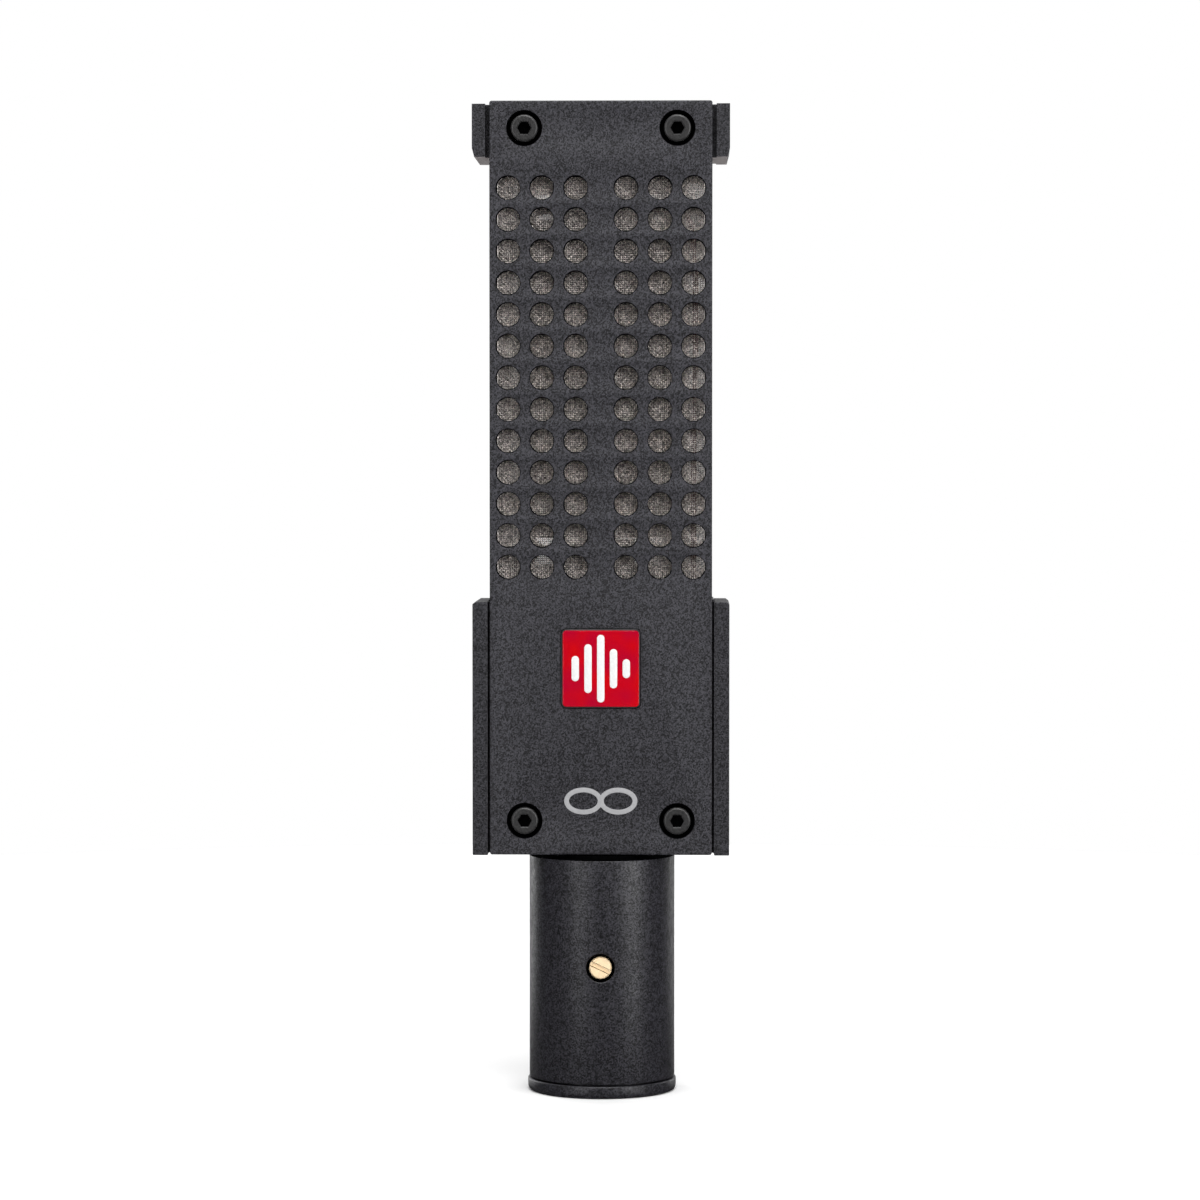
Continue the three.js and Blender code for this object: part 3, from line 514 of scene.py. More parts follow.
def face_plate(node, screws, screen, facing, looks, badge=None):
    """Perforated plate with counterbored corners, a pocket for its screen and one for the badge."""
    box_low, box_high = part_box(node)
    face = box_low.y if facing == "front" else box_high.y
    thickness = box_high.y - box_low.y
    side = 1 if facing == "front" else -1
    shell = Shell()

    low, high = (box_low.x, box_low.z), (box_high.x, box_high.z)

    def outline(inset, z):
        corner = PLATE_CORNER - 0.9 * inset
        return rounded_rectangle(
            (low[0] + inset, low[1] + inset), (high[0] - inset, high[1] - inset), corner, z
        )

    upper = [outline(inset, -depth) for inset, depth in round_edge(EDGE)]
    lower = [outline(inset, depth - thickness) for inset, depth in round_edge(EDGE)]
    first, last = shell.stack(upper + lower[::-1])

    screen_low, screen_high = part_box(screen)
    pocket_low = (screen_low.x - SCREEN_GAP, screen_low.z - SCREEN_GAP)
    pocket_high = (screen_high.x + SCREEN_GAP, screen_high.z + SCREEN_GAP)
    pocket = [
        rounded_rectangle(pocket_low, pocket_high, PLATE_CORNER, z)
        for z in (-GRILLE_WEB, -thickness)
    ]
    pocket_floor, pocket_mouth = shell.stack(pocket)

    face_holes = []
    floor_holes = []
    for x, y in grille_places(low, high):
        a, b = hole(shell, x, y, GRILLE_HOLE_RADIUS, 0, -GRILLE_WEB)
        face_holes.append(a)
        floor_holes.append(b)
    back_holes = [pocket_mouth]
    for screw in screws:
        centre = middle(screw)
        a, b = counterbore(shell, side * centre.x, centre.z, -thickness)
        face_holes.append(a)
        back_holes.append(b)
    if badge:
        badge_low, badge_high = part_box(badge)
        seat_low = (badge_low.x - BADGE_GAP, badge_low.z - BADGE_GAP)
        seat_high = (badge_high.x + BADGE_GAP, badge_high.z + BADGE_GAP)
        corner = BADGE_CORNER + BADGE_GAP
        seat = [
            rounded_rectangle(seat_low, seat_high, corner, z) for z in (0, -BADGE_POCKET_DEPTH)
        ]
        seat_mouth, seat_floor = shell.stack(seat)
        face_holes.append(seat_mouth)
        shell.cap(seat_floor)
    shell.cap(first, face_holes)
    shell.cap(pocket_floor, floor_holes)
    shell.cap(last, back_holes)
    piece = shell.build(node + "_skin", placed(0, face, 0, facing))
    return show(piece, looks["plate"], [node], dark=looks["recess"])


# ---- Screws ----


def hex_socket(shell, flats, depth):
    """Hexagonal socket with a lead-in and a drilled bottom. Returns its loop on the face at z 0."""
    lead_in = 0.09 * flats
    first, mouth = shell.stack([hexagon(flats + 2 * lead_in, 0), hexagon(flats, -lead_in)])
    # Below the lead-in, the socket's walls and drilled bottom take the second material, a painted shadow
    # in the socket.
    shell.dark = True
    deep, drilled = shell.stack([hexagon(flats, -depth), ring(0.4 * flats, -depth)])
    bottom = shell.loop(ring(0.36 * flats, -depth - 0.1 * flats))
    shell.wall(mouth, deep)
    shell.wall(drilled, bottom)
    shell.cap(bottom)
    shell.dark = False
    return first


def cap_screw(node, facing, looks):
    """Socket cap screw: cylindrical head with a rounded rim and a hexagonal socket."""
    low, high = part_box(node)
    centre = (low + high) / 2
    radius = (high.x - low.x) / 2
    outer = low.y if facing == "front" else high.y
    length = high.y - low.y
    size = CAP_SCREW
    rim = 0.17 * radius
    profile = [(radius - rim - 0.03 * radius, 0)]
    profile += [(radius - rim + rim * math.sin(a), rim * (math.cos(a) - 1)) for a in arc_steps(5)]
    profile += [(radius, -size["head"] + FINE_EDGE), (radius - FINE_EDGE, -size["head"])]
    profile += [(size["shank"], -size["head"]), (size["shank"], 0.3 * MM - length)]
    profile += [(size["shank"] - 0.3 * MM, -length)]
    shell = Shell()
    first, last = shell.stack([ring(r, z) for r, z in profile])
    shell.cap(last)
    shell.cap(first, [hex_socket(shell, size["flats"], size["depth"])])
    piece = shell.build(node + "_steel", placed(centre.x, outer, centre.z, facing), 32)
    return show(piece, looks["black_steel"], [node], dark=looks["recess"])


def arc_steps(count):
    return [TURN / 4 * i / count for i in range(count + 1)]


def wing_screw(node, facing, looks):
    """Countersunk screw, flush with the wing's outer face."""
    low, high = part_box(node)
    centre = (low + high) / 2
    radius = (high.z - low.z) / 2
    outer = high.x if facing == "right" else low.x
    length = high.x - low.x
    size = WING_SCREW
    profile = [(radius - FINE_EDGE, 0), (radius, -FINE_EDGE), (radius, -2 * FINE_EDGE)]
    profile += [(size["shank"], -size["head"]), (size["shank"], 0.2 * MM - length)]
    profile += [(size["shank"] - 0.2 * MM, -length)]
    shell = Shell()
    first, last = shell.stack([ring(r, z) for r, z in profile])
    shell.cap(last)
    shell.cap(first, [hex_socket(shell, size["flats"], size["depth"])])
    piece = shell.build(node + "_steel", placed(outer, centre.y, centre.z, facing), 32)
    return show(piece, looks["black_steel"], [node], dark=looks["recess"])


# ---- Badge and printed sign ----


def badge_parts(looks):
    """Square badge: a dark rim, a red enamel field and five white bars of a generic sound mark."""
    low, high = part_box("badge")
    face, depth = low.y, high.y - low.y
    centre = (low + high) / 2
    half = (high.x - low.x) / 2

    def square(size, corner, z):
        return rounded_rectangle((-size, -size), (size, size), corner, z, 8)

    rim = Shell()
    inner = half - BADGE_RIM
    loops = [square(half, BADGE_CORNER, -depth)]
    loops += [
        square(half - inset, BADGE_CORNER - inset, -level)
        for inset, level in reversed(list(round_edge(FINE_EDGE)))
    ]
    loops += [square(inner, BADGE_CORNER - BADGE_RIM, 0)]
    loops += [square(inner, BADGE_CORNER - BADGE_RIM, -0.5 * depth)]
    first, last = rim.stack(loops)
    rim.cap(first)
    rim.cap(last)
    place = placed(centre.x, face, centre.z, "front")
    show(rim.build("badge_rim", place), looks["black_steel"], ["badge"])

    field = Shell()
    size = inner - 0.02 * MM
    corner = BADGE_CORNER - BADGE_RIM
    loops = [square(size, corner, -0.45 * depth)]
    for inset, level in reversed(list(round_edge(0.3 * MM, 6))):
        loops.append(square(size - inset, max(corner - inset, 0.15 * MM), 0.06 * MM - 0.4 * level))
    first, last = field.stack(loops)
    field.cap(first)
    field.cap(last)
    show(field.build("badge_enamel", place), looks["enamel"], ["badge"])

    bars = Shell()
    pitch = 2 * size / (len(BADGE_BARS) + 1)
    half_bar = 0.29 * pitch
    for index, share in enumerate(BADGE_BARS):
        x = (index - (len(BADGE_BARS) - 1) / 2) * pitch
        tall = share * half
        loops = []
        for inset, level in [(0, 0.02 * MM), (0, 0.08 * MM), (0.03 * MM, 0.1 * MM)]:
            corners = (x - half_bar + inset, inset - tall), (x + half_bar - inset, tall - inset)
            loops.append(rounded_rectangle(*corners, half_bar - inset - 0.01 * MM, level))
        first, last = bars.stack(loops)
        bars.cap(first)
        bars.cap(last)
    show(bars.build("badge_bars", place), looks["white_print"], ["badge"])


def pickup_sign(look):
    """Raised print of the pickup pattern, two joined loops, where the photo has lettering."""
    half_long, half_high, offset, stroke = 3.2 * MM, 2.25 * MM, 2.9 * MM, 0.8 * MM
    meeting = math.acos(-offset / half_long)
    steps = 60
    lobe = [meeting * (2 * i / steps - 1) for i in range(steps + 1)]
    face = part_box("front_plate")[0].y
    sign = Shell()

    def outline(z, inset):
        right = [
            (offset + (half_long - inset) * math.cos(a), (half_high - inset) * math.sin(a), z)
            for a in lobe
        ]
        left = [(-x, -y, z) for x, y, z in right]
        return right[:-1] + left[:-1]

    def window(side, z, inset):
        long, high = half_long - stroke + inset, half_high - stroke + inset
        return [
            (side * offset + long * math.cos(a), high * math.sin(a), z)
            for a in (TURN * i / steps for i in range(steps))
        ]

    levels = [(0, 0.0), (PRINT_HEIGHT, 0.0), (1.3 * PRINT_HEIGHT, 0.04 * MM)]
    bottom, top = sign.stack([outline(z, inset) for z, inset in levels])
    openings = [sign.stack([window(side, z, inset) for z, inset in levels]) for side in (-1, 1)]
    sign.cap(bottom, [a for a, _ in openings])
    sign.cap(top, [b for _, b in openings])
    piece = sign.build("pickup_sign", placed(0, face - SIGN_SEAT, SIGN_HEIGHT, "front"))
    show(piece, look, ())


# ---- Woven screens ----


def woven_wires(count, length, pitch, radius, half_width, phase):
    """Parallel wires along y, one pitch apart in x, each over and under its neighbours' crossings.

    Returns vertices and quads. Each wire has three sides and two rings of points to a pitch.
    """
    rings = int(length / pitch) * 2 + 1
    y = (np.arange(rings) - (rings - 1) / 2) * pitch / 2
    x = (np.arange(count) - (count - 1) / 2) * pitch
    side = (-1.0) ** (np.arange(count)[:, None] + phase)
    over = np.cos(math.pi * np.arange(rings) / 2)[None, :] * side
    around = TURN * (np.arange(3) / 3 + 0.25)
    points = np.empty((count, rings, 3, 3))
    points[..., 0] = x[:, None, None] + half_width * np.cos(around)
    points[..., 1] = y[None, :, None]
    points[..., 2] = radius * over[:, :, None] + radius * np.sin(around)
    index = np.arange(count * rings * 3).reshape(count, rings, 3)
    here, after = index[:, :-1], index[:, 1:]
    quads = np.stack(
        [here, after, np.roll(after, -1, 2), np.roll(here, -1, 2)], axis=-1
    ).reshape(-1, 4)
    ends = np.concatenate([index[:, 0, :], index[:, -1, ::-1]])
    return points.reshape(-1, 3), quads, ends


def wire_range(points, quads, ends, wires, first, last):
    """The wires from first up to last, out of all the wires."""
    rows = len(points) // wires
    faces = len(quads) // wires
    tips = np.concatenate([ends[first:last], ends[wires + first:wires + last]])
    start = first * rows
    return points[start:last * rows], quads[first * faces:last * faces] - start, tips - start


def screen_piece(name, node, part, place, look):
    """One mesh of some of a screen's wires."""
    points, quads, ends = part
    mesh = bpy.data.meshes.new(name)
    mesh.from_pydata(points.tolist(), [], quads.tolist() + ends.tolist())
    mesh.polygons.foreach_set("use_smooth", [True] * len(mesh.polygons))
    mesh.set_sharp_from_angle(angle=math.radians(130))
    piece = bpy.data.objects.new(name, mesh)
    piece.matrix_world = place
    bpy.context.scene.collection.objects.link(piece)
    return show(piece, look, [node])


def woven_screen(node, facing, look):
    """Plain weave that fills the node's box, each direction of wires in pieces side by side."""
    low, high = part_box(node)
    size = high - low
    across = size.x if facing in ("front", "rear") else size.y
    thickness = size.y if facing in ("front", "rear") else size.x
    radius = thickness / 4
    columns = int((across - 2 * radius) / MESH_PITCH)
    rows = int((size.z - 2 * radius) / MESH_PITCH)
    wire = (MESH_PITCH, radius, WIRE_HALF_WIDTH)
    warp = woven_wires(columns, rows * MESH_PITCH, *wire, 0)
    weft = woven_wires(rows, columns * MESH_PITCH, *wire, 1)
    centre = (low + high) / 2
    shift = REAR_SHIFT if facing == "rear" else 0
    place = placed(centre.x + shift, centre.y, centre.z, facing)
    for name, (points, quads, ends), turn in (("warp", warp, False), ("weft", weft, True)):
        if turn:
            points, quads, ends = points[:, [1, 0, 2]], quads[:, ::-1], ends[:, ::-1]
        pieces = 1 + 2 * len(quads) // MOST_TRIANGLES
        wires = len(ends) // 2
        for index in range(pieces):
            first, last = wires * index // pieces, wires * (index + 1) // pieces
            part = wire_range(points, quads, ends, wires, first, last)
            screen_piece(f"{node}_{name}_{index + 1}", node, part, place, look)


# ---- Stem and connector ----

STEM = {
    "radius": 12.25 * MM,
    "bottom": 2.4 * MM,
    "seat": 11.2 * MM,  # room for the end ring's spigot
    "seat_top": 5.2 * MM,
    "socket": 9.6 * MM,
    "rib": 8.8 * MM,
    "rib_bottom": 25.2 * MM,
    "rib_top": 33 * MM,
    "thread": 10.1 * MM,
    "shoulder": 39.7 * MM,
    "top": 40.35 * MM,
    "flat": 8.1 * MM,
}
LOCK_SLOT_ANGLE = -25  # degrees from level
WINDOW_RADIUS = 2.4 * MM
WINDOW_COLUMNS = 10  # grid columns to each side of the window that its patch takes up
WINDOW_HALF_HEIGHT = 4.0 * MM
KEYWAY_HALF_WIDTH = 1.3 * MM
KEYWAY_DEPTH = 1.0 * MM
KEYWAY_TOP = 14 * MM
KEYWAY_COLUMNS = 4


def stem_ring(radius, z):
    """Circle that starts at the front and runs towards +X."""
    angles = (TURN * i / STEM_SIDES for i in range(STEM_SIDES))
    return [(radius * math.sin(a), -radius * math.cos(a), z) for a in angles]


def keyed_ring(radius, z, half_width):
    """Circle with a straight-sided notch at the front, for the plug's key."""
    points = stem_ring(radius, z)
    for i in range(-KEYWAY_COLUMNS, KEYWAY_COLUMNS + 1):
        share = i / (KEYWAY_COLUMNS - 1)
        x = half_width * max(-1.0, min(1.0, share))
        reach = radius if abs(i) == KEYWAY_COLUMNS else radius + KEYWAY_DEPTH
        points[i] = (x, -math.sqrt(reach**2 - x**2), z)
    return points


def flattened(points, flat):
    """The loop with everything beyond y = flat pressed back onto it, front and rear."""
    return [(x, max(-flat, min(flat, y)), z) for x, y, z in points]


def windowed_band(shell, radius, centre_z, hole_radius):
    """Rings across the window's height, with a patch left open in front. Returns the first and
    last ring, and the loop round the hole, which lies on the cylinder."""
    levels = 2 * WINDOW_COLUMNS
    heights = [
        centre_z + WINDOW_HALF_HEIGHT * (2 * k / levels - 1) for k in range(levels + 1)
    ]
    rings = [shell.loop(stem_ring(radius, z)) for z in heights]
    columns = range(-WINDOW_COLUMNS, WINDOW_COLUMNS)
    open_columns = {i % STEM_SIDES for i in columns}
    for a, b in zip(rings, rings[1:]):
        shell.wall(a, b, open_columns)
    border = [rings[0][i] for i in columns]
    border += [rings[k][WINDOW_COLUMNS] for k in range(levels)]
    border += [rings[-1][-i] for i in columns]
    border += [rings[-1 - k][-WINDOW_COLUMNS] for k in range(levels)]

    def towards_hole(share):
        points = []
        for index in border:
            point = shell.points[index]
            x, z = point.x, point.z - centre_z
            angle = math.atan2(z, x)
            x += share * (hole_radius * math.cos(angle) - x)
            z += share * (hole_radius * math.sin(angle) - z)
            points.append((x, -math.sqrt(radius**2 - x**2), centre_z + z))
        return points

    before = border
    for share in (0.35, 0.65, 0.85, 1.0):
        after = shell.loop(towards_hole(share))
        shell.wall(before, after)
        before = after
    return rings[0], rings[-1], before


def window_loops(shell, start, radius, centre_z, edge):
    """Rounds the window's outer edge from loop start and returns the last loop."""
    before = start
    for inset, depth in list(round_edge(edge))[1:]:
        points = []
        for index in start:
            point = shell.points[index]
            angle = math.atan2(point.z - centre_z, point.x)
            x = (WINDOW_RADIUS + inset) * math.cos(angle)
            z = (WINDOW_RADIUS + inset) * math.sin(angle)
            points.append((x, depth - math.sqrt(radius**2 - x**2), centre_z + z))
        after = shell.loop(points)
        shell.wall(before, after)
        before = after
    return before


def stem_tube(looks):
    """Tube with a milled step under the body, a window for the locking screw and a keyed socket."""
    window_z = middle("lock_screw").z
    shell = Shell()
    edge = HOLE_EDGE

    outer_low, outer_high, outer_hole = windowed_band(
        shell, STEM["radius"], window_z, WINDOW_RADIUS + edge
    )
    inner_low, inner_high, inner_hole = windowed_band(
        shell, STEM["socket"], window_z, WINDOW_RADIUS
    )
    window_edge = window_loops(shell, outer_hole, STEM["radius"], window_z, edge)
    # The window's wall through the tube takes the second material, a painted shadow round the locking
    # screw.
    shell.dark = True
    shell.wall(window_edge, inner_hole)
    shell.dark = False

    below = [
        stem_ring(STEM["radius"] - inset, STEM["bottom"] + depth)
        for inset, depth in round_edge(edge)
    ]
    bottom, last = shell.stack(below)
    shell.wall(last, outer_low)

    above = []
    for inset, depth in reversed(list(round_edge(edge))):
        rim = stem_ring(STEM["radius"], STEM["shoulder"] - depth)
        above.append(
            [
                (x, y - math.copysign(inset, y) if abs(y) > STEM["flat"] + inset else y, z)
                for x, y, z in rim
            ]
        )
    start, rim = shell.stack(above)
    shell.wall(outer_high, start)
    neck = flattened(stem_ring(STEM["radius"], STEM["shoulder"]), STEM["flat"])
    neck_top = [(x, y, STEM["top"]) for x, y, _ in neck]
    # Down to the bore's rib, the shoulder's top, the neck with its milled flats, its top and the upper
    # bore take the second material: painted shadow under the plates and inside the tube.
    shell.dark = True
    foot, top = shell.stack([neck, neck_top])
    shell.wall(rim, foot)

    inside = [
        stem_ring(STEM["thread"], STEM["top"]),
        stem_ring(STEM["thread"], STEM["rib_top"]),
        stem_ring(STEM["rib"], STEM["rib_top"]),
        stem_ring(STEM["rib"], STEM["rib_bottom"]),
        stem_ring(STEM["socket"], STEM["rib_bottom"]),
    ]
    mouth, end = shell.stack(inside)
    shell.wall(top, mouth)
    shell.dark = False
    shell.wall(end, inner_high)

    keyed = [
        stem_ring(STEM["socket"], KEYWAY_TOP),
        keyed_ring(STEM["socket"], KEYWAY_TOP, KEYWAY_HALF_WIDTH),
        keyed_ring(STEM["socket"], STEM["seat_top"], KEYWAY_HALF_WIDTH),
        stem_ring(STEM["seat"], STEM["seat_top"]),
        stem_ring(STEM["seat"], STEM["bottom"]),
    ]
    key_top, seat = shell.stack(keyed)
    shell.wall(inner_low, key_top)
    shell.wall(seat, bottom)
    piece = shell.build("stem_tube_skin")
    return show(piece, looks["stem"], ["stem_tube"], dark=looks["recess"])


def end_ring(look):
    """Ring pressed into the stem's end, with a rounded lower edge and the plug's keyway."""
    low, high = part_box("end_ring")
    radius = (high.x - low.x) / 2
    shoulder = 2.1 * MM
    shell = Shell()
    loops = [stem_ring(radius - inset, low.z + depth) for inset, depth in round_edge(0.8 * MM, 8)]
    loops += [
        stem_ring(radius - inset, shoulder - depth)
        for inset, depth in reversed(list(round_edge(0.25 * MM)))
    ]
    spigot = 11.05 * MM
    loops += [stem_ring(spigot, shoulder), stem_ring(spigot, high.z - EDGE)]
    loops += [stem_ring(spigot - EDGE, high.z)]
    socket = STEM["socket"]
    loops += [keyed_ring(socket, high.z, KEYWAY_HALF_WIDTH)]
    loops += [keyed_ring(socket, low.z + 0.4 * MM, KEYWAY_HALF_WIDTH)]
    loops += [keyed_ring(socket + 0.15 * MM, low.z + 0.15 * MM, KEYWAY_HALF_WIDTH + 0.1 * MM)]
    loops += [keyed_ring(socket + 0.4 * MM, low.z, KEYWAY_HALF_WIDTH + 0.2 * MM)]
    first, last = shell.stack(loops)
    shell.wall(last, first)
    piece = shell.build("end_ring_skin")
    return show(piece, look, ["end_ring"])


def connector(looks):
    """Insulating insert with three silver pins."""
    low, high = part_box("connector_insert")
    radius = (high.x - low.x) / 2
    shell = Shell()
    pins = [f"connector_pin_{number}" for number in (1, 2, 3)]
    places = [middle(pin) for pin in pins]
    profile = [(radius - inset, low.z + depth) for inset, depth in round_edge(EDGE)]
    profile += [(radius - inset, high.z - depth) for inset, depth in reversed(list(round_edge(EDGE)))]
    first, last = shell.stack([ring(r, z, ROUND_SIDES) for r, z in profile])
    lower, upper = [], []
    for place in places:
        loops = [(1.45 * MM, low.z), (1.28 * MM, low.z + 0.15 * MM), (1.28 * MM, high.z)]
        a, b = shell.stack([ring(r, z, PIN_SIDES, place.x, place.y) for r, z in loops])
        lower.append(a)
        upper.append(b)
    shell.cap(first, lower)
    shell.cap(last, upper)
    insert = shell.build("connector_insert_moulding")
    show(insert, looks["plastic"], ["connector_insert"])
    for pin, place in zip(pins, places):
        pin_low, pin_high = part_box(pin)
        pin_radius = (pin_high.x - pin_low.x) / 2
        tail = 0.85 * MM
        profile = [(0.35 * pin_radius, 0)]
        profile += [
            (pin_radius * (0.35 + 0.65 * math.sin(a)), 0.9 * pin_radius * (1 - math.cos(a)))
            for a in arc_steps(6)[1:]
        ]
        shoulder = pin_high.z - pin_low.z - 2.4 * MM
        profile += [(pin_radius, shoulder), (tail, shoulder + 0.05 * MM)]
        profile += [(tail, shoulder + 2.2 * MM), (0.7 * tail, shoulder + 2.4 * MM)]
        piece = turned(pin + "_silver", profile, placed(place.x, place.y, pin_low.z), PIN_SIDES)
        show(piece, looks["silver"], [pin])


def lock_screw(looks):
    """Slotted brass screw on its own body. A saw has left a fine groove down each side of the slot."""
    low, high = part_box("lock_screw")
    centre = (low + high) / 2
    radius = (high.x - low.x) / 2
    length = high.y - low.y
    rim = 0.2 * MM
    profile = [(radius - rim - FINE_EDGE, 0), (radius - rim, -0.4 * FINE_EDGE), (radius, -2 * rim)]
    profile += [(radius, 0.2 * MM - length), (radius - 0.2 * MM, -length)]
    piece = turned("lock_screw_brass", profile, placed(centre.x, low.y, centre.z, "front"), LOCK_SIDES)
    half_width, depth = 0.425 * MM, 0.35 * MM
    cutter = Shell()
    reach = 3 * MM
    tilt = Matrix.Rotation(math.radians(LOCK_SLOT_ANGLE), 4, "Z")
    groove = 0.1 * MM
    section = [(-half_width, reach), (-half_width, -depth - 2 * groove)]
    section += [(groove - half_width, -depth - 2 * groove), (groove - half_width, -depth)]
    section += [(-y, z) for y, z in reversed(section)]
    loops = [[tilt @ Vector((x, y, z)) for y, z in section] for x in (-reach, reach)]
    first, last = cutter.stack(loops)
    cutter.cap(first)
    cutter.cap(last)
    tool = cutter.build("slot_cutter", piece.matrix_world)
    cut = piece.modifiers.new("slot", "BOOLEAN")
    cut.object = tool
    cut.solver = "EXACT"
    bpy.context.view_layer.update()
    evaluated = piece.evaluated_get(bpy.context.evaluated_depsgraph_get())
    mesh = bpy.data.meshes.new_from_object(evaluated)
    piece.modifiers.clear()
    piece.data = mesh
    bpy.data.objects.remove(tool)
    mesh.set_sharp_from_angle(angle=math.radians(20))
    # Faces down in the slot's saw grooves take the second material, a painted shadow in the grooves.
    for polygon in mesh.polygons:
        polygon.material_index = int(-length / 2 < polygon.center.z < -depth - 0.5 * groove)
    return show(piece, looks["brass"], ["lock_screw"], LOCK_BODY, looks["recess"])


# ---- Ribbon ----


def ribbon_half(name, low, high, upper, look):
    """Half of the corrugated foil, from its clamp to its middle, its ripple fading out towards the
    clamp.
    """
    centre = (low.z + high.z) / 2
    wave, pitch, foil = 0.2 * MM, 1.6 * MM, 0.02 * MM
    start, end = (centre, high.z) if upper else (low.z, centre)
    steps = int((end - start) / pitch * 16)
    half_width = (high.x - low.x) / 2
    loops = []
    for i in range(steps + 1):
        z = start + (end - start) * i / steps
        phase = (z - centre) / pitch * TURN
        fade = min(1.0, (z - low.z) / pitch, (high.z - z) / pitch)
        y = wave * fade * math.sin(phase)
        front = [(-half_width, y - foil, z), (half_width, y - foil, z)]
        rear = [(half_width, y + foil, z), (-half_width, y + foil, z)]
        loops.append(front + rear)
    shell = Shell()
    first, last = shell.stack(loops)
    shell.cap(first)
    shell.cap(last)
    piece = shell.build(name)
    piece.data.materials.append(look)
    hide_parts("ribbon")
    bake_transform(piece)
    return piece


# ---- CAD parts that keep their shape ----


def keep(node, look, width=EDGE, segments=3):
    """Shows the CAD part itself with its material, true flat faces and slightly rounded edges."""
    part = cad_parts[node]
    part.data.materials.clear()
    part.data.materials.append(look)
    weld = part.modifiers.new("weld", "WELD")
    weld.merge_threshold = 0.002 * MM
    merge = part.modifiers.new("flat_faces", "DECIMATE")
    merge.decimate_type = "DISSOLVE"
    merge.angle_limit = math.radians(0.5)
    bevel = part.modifiers.new("edges", "BEVEL")
    bevel.width = width
    bevel.segments = segments
    bevel.limit_method = "ANGLE"
    bevel.angle_limit = math.radians(40)
    normals = part.modifiers.new("normals", "WEIGHTED_NORMAL")
    normals.keep_sharp = True
    for polygon in part.data.polygons:
        polygon.use_smooth = True
    return part


# ---- Camera, light and floor ----

FLOOR_RADIUS = 0.42
FLOOR_THICKNESS = 0.01
LIGHTS_AIM = (0, 0, 0.09)
AMBIENT = 0.07  # strength of the room as a light
LENS = 118.45
CAMERA = Vector((14.9 * MM, -665.3 * MM, 106.8 * MM))
AIM_X = -0.13 * MM  # where the camera looks, from the body's middle
AIM_Z = 0.12 * MM


def aimed(origin, target):
    return (Vector(target) - Vector(origin)).to_track_quat("-Z", "Y").to_matrix().to_4x4()


def add_camera():
    low, high = cad_box
    target = (AIM_X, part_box("front_plate")[0].y, (low.z + high.z) / 2 + AIM_Z)
    data = bpy.data.cameras.new("camera")
    data.lens = LENS
    data.sensor_width = 36
    data.clip_start = 0.01
    data.clip_end = 50
    camera = bpy.data.objects.new("camera", data)
    camera.matrix_world = Matrix.Translation(CAMERA) @ aimed(CAMERA, target)
    bpy.context.scene.collection.objects.link(camera)
    bpy.context.scene.camera = camera


def around(azimuth, distance, height):
    """Point round the object. Azimuth 0 is in front of it, and 90 to its right."""
    angle = math.radians(azimuth)
    return Vector((distance * math.sin(angle), -distance * math.cos(angle), height))


def add_softbox(name, place, width, height, watts):
    data = bpy.data.lights.new(name, "AREA")
    data.shape = "RECTANGLE"
    data.size = width
    data.size_y = height
    data.energy = watts
    lamp = bpy.data.objects.new(name, data)
    lamp.matrix_world = Matrix.Translation(place) @ aimed(place, LIGHTS_AIM)
    lamp.visible_camera = False
    bpy.context.scene.collection.objects.link(lamp)


def add_world():
    """White room, as bright as paper to the camera and dimmer as a light."""
    world = bpy.data.worlds.new("studio")
    bpy.context.scene.world = world
    world.use_nodes = True
    tree = world.node_tree
    background = tree.nodes["Background"]
    background.inputs["Color"].default_value = (1, 1, 1, 1)
    path = tree.nodes.new("ShaderNodeLightPath")
    ranged = tree.nodes.new("ShaderNodeMapRange")
    ranged.inputs["To Min"].default_value = AMBIENT
    ranged.inputs["To Max"].default_value = 1.0
    tree.links.new(path.outputs["Is Camera Ray"], ranged.inputs["Value"])
    tree.links.new(ranged.outputs["Result"], background.inputs["Strength"])


def add_floor():
    shell = Shell()
    levels = (0, -FLOOR_THICKNESS)
    first, last = shell.stack([ring(FLOOR_RADIUS, z, ROUND_SIDES) for z in levels])
    shell.cap(first)
    shell.cap(last)
    floor = shell.build("floor")
    floor.data.materials.append(floor_paint())
    floor.visible_glossy = False


def add_studio():
    bpy.context.scene.view_settings.view_transform = "Standard"
    bpy.context.scene.view_settings.look = "None"
    add_softbox("overhead", Vector((0, 0.001, 1.05)), 1.3, 1.3, 15)
    add_softbox("key", around(8, 0.7, 0.9), 0.6, 0.5, 6)
    add_softbox("right", around(50, 0.85, 0.2), 0.34, 0.7, 4)
    add_softbox("left", around(-34, 0.85, 0.2), 0.18, 0.7, 2)
    add_softbox("backdrop", around(180, 1.4, 0.3), 1.5, 1.2, 4)
    add_softbox("rear_right", around(140, 0.95, 0.3), 0.2, 0.8, 1.6)
    add_softbox("rear_left", around(-140, 0.95, 0.3), 0.2, 0.8, 3)
    add_world()
    add_floor()


# ---- Assembly ----

CORNERS = ("top_left", "top_right", "bottom_left", "bottom_right")


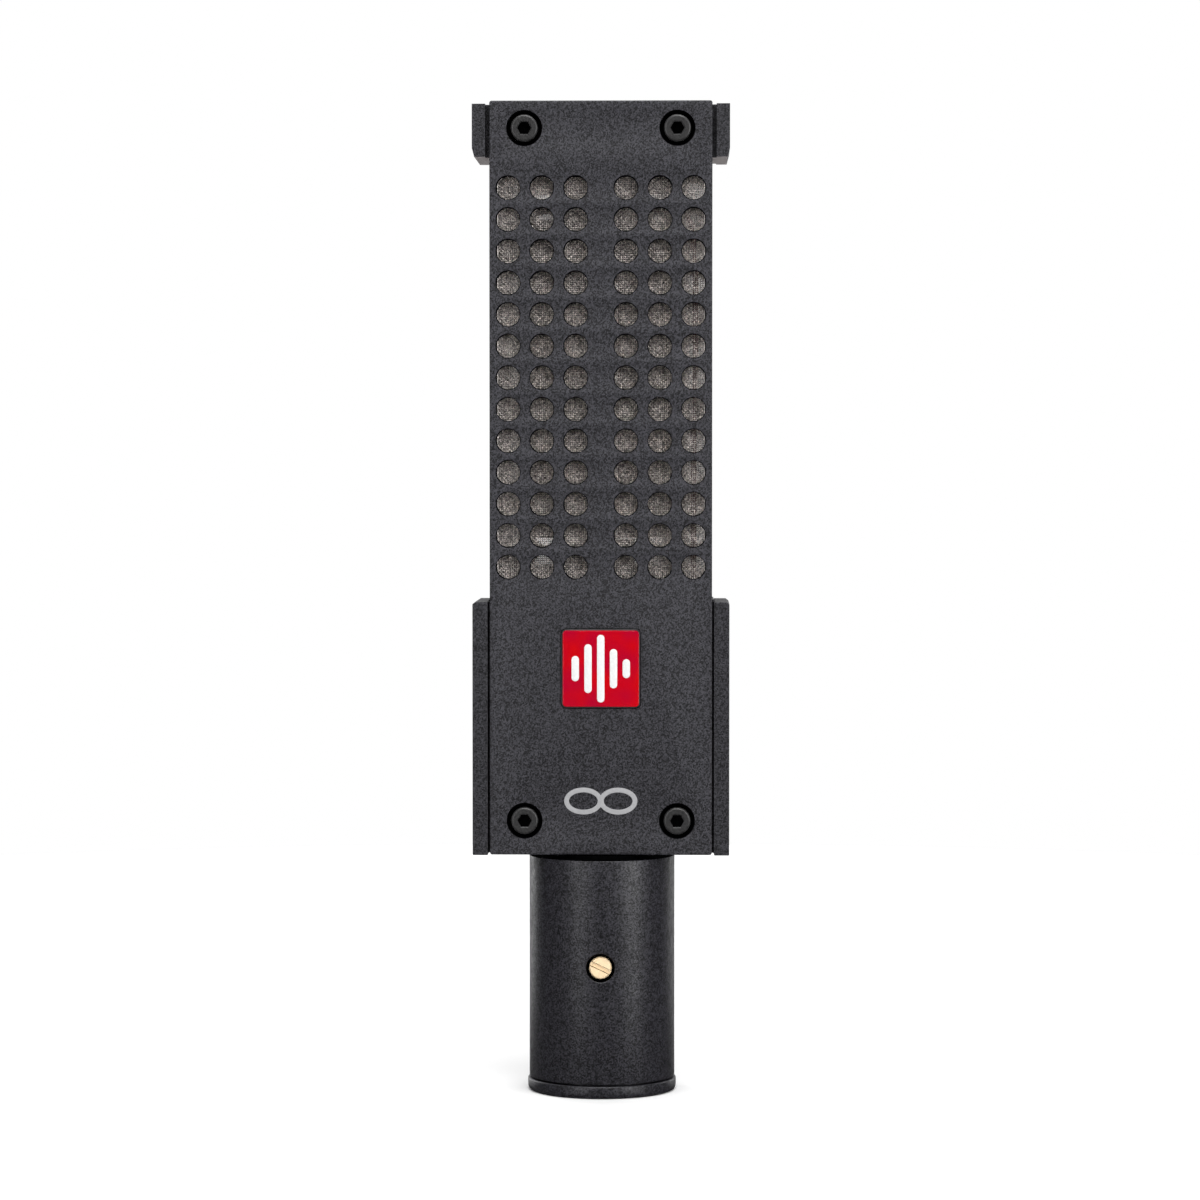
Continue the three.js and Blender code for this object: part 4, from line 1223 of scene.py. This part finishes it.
def make_looks():
    return {
        "plate": powder_coat("plate_coat", (0.0185, 0.018, 0.0224), 0.54, 0.2 * MM, 0.03 * MM),
        "bracket": powder_coat("bracket_coat", (0.0145, 0.0141, 0.0176), 0.54, 0.2 * MM, 0.03 * MM),
        # The ears' downward faces are painted lighter, a painted light from below.
        "ears": powder_coat(
            "ear_coat", (0.0145, 0.0141, 0.0176), 0.54, 0.2 * MM, 0.03 * MM, underside_light=(0.24, 0.215, 0.215)
        ),
        "stem": powder_coat("stem_coat", (0.0135, 0.013, 0.0168), 0.42, 0.22 * MM, 0.03 * MM),
        # near-black painted shade for the walls of holes, sockets, grooves and the stem's step
        "recess": painted_recess_shade(),
        "black_steel": black_oxide(),
        "enamel": enamel(),
        "white_print": print_ink("white_ink", (0.68, 0.68, 0.68)),
        "grey_print": print_ink("grey_ink", (0.31, 0.31, 0.32)),
        "wire": wire_metal(),
        "steel": machined("ground_steel", (0.27, 0.26, 0.25), 0.35, 0.2 * MM),
        "magnet": machined("nickel_plate", (0.36, 0.34, 0.31), 0.3, 0.5 * MM, axis="X"),
        "can": machined("shield_can", (0.42, 0.41, 0.4), 0.35, 0.3 * MM, axis="X"),
        "brass": machined("brass", (1.0, 0.77, 0.49), 0.38, 0.16 * MM, 0.2, kind="RINGS"),
        "silver": machined("silver_plate", (0.88, 0.86, 0.82), 0.2, 0.3 * MM, kind="RINGS"),
        "foil": machined("foil", (0.85, 0.85, 0.86), 0.25, 0.4 * MM, axis="X"),
        "core": laminations(),
        "winding": winding(),
        "plastic": moulded("insert_plastic", (0.012, 0.012, 0.013), 0.45),
        "rubber": moulded("damper_rubber", (0.015, 0.015, 0.015), 0.8, 0.2 * MM, 0.015 * MM),
        "base": moulded("glass_board", (0.16, 0.24, 0.1), 0.4),
        "red_wire": moulded("red_insulation", (0.14, 0.006, 0.005), 0.4),
        "blue_wire": moulded("blue_insulation", (0.01, 0.04, 0.35), 0.4),
        "black_wire": moulded("black_insulation", (0.012, 0.012, 0.012), 0.4),
    }


KEPT = {
    "bracket": ["lower_bracket", "cross_bar"],
    "ears": ["top_bracket"],
    "steel": [
        "motor_top_plate", "motor_bottom_plate", "left_yoke_rail", "right_yoke_rail",
        "left_pole_piece", "right_pole_piece",
    ],
    "magnet": ["left_magnet", "right_magnet"],
    "black_steel": ["left_motor_screw", "right_motor_screw"],
    "silver": ["top_ribbon_clamp", "bottom_ribbon_clamp"],
    "rubber": ["top_damper_pad", "bottom_damper_pad"],
    "base": ["top_ribbon_base", "bottom_ribbon_base"],
    "can": ["transformer_can", "transformer_lid"],
    "core": ["transformer_core"],
    "winding": ["transformer_winding"],
    "red_wire": ["top_ribbon_lead", "output_lead_2"],
    "blue_wire": ["output_lead_3"],
    "black_wire": ["bottom_ribbon_lead", "output_lead_1"],
}


def build(looks):
    for side, screen in (("front", "front_screen"), ("rear", "rear_screen")):
        screws = [f"{side}_screw_{corner}" for corner in CORNERS]
        badge = "badge" if side == "front" else None
        face_plate(f"{side}_plate", screws, screen, side, looks, badge)
        woven_screen(screen, side, looks["wire"])
        for screw in screws:
            cap_screw(screw, side, looks)
    for side in ("left", "right"):
        woven_screen(f"{side}_side_screen", side, looks["wire"])
        wing_screw(f"{side}_wing_screw", side, looks)
    badge_parts(looks)
    pickup_sign(looks["grey_print"])
    stem_tube(looks)
    end_ring(looks["stem"])
    connector(looks)
    lock_screw(looks)
    low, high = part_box("ribbon")
    ribbon_half("ribbon_lower_half", low, high, False, looks["foil"])
    ribbon_half("ribbon_upper_half", low, high, True, looks["foil"])
    for look, nodes in KEPT.items():
        for node in nodes:
            keep(node, looks[look])
    for end in ("top", "bottom"):
        for side in ("left", "right"):
            keep(f"{end}_clamp_screw_{side}", looks["black_steel"], FINE_EDGE, 1)


add_camera()
add_studio()
build(make_looks())
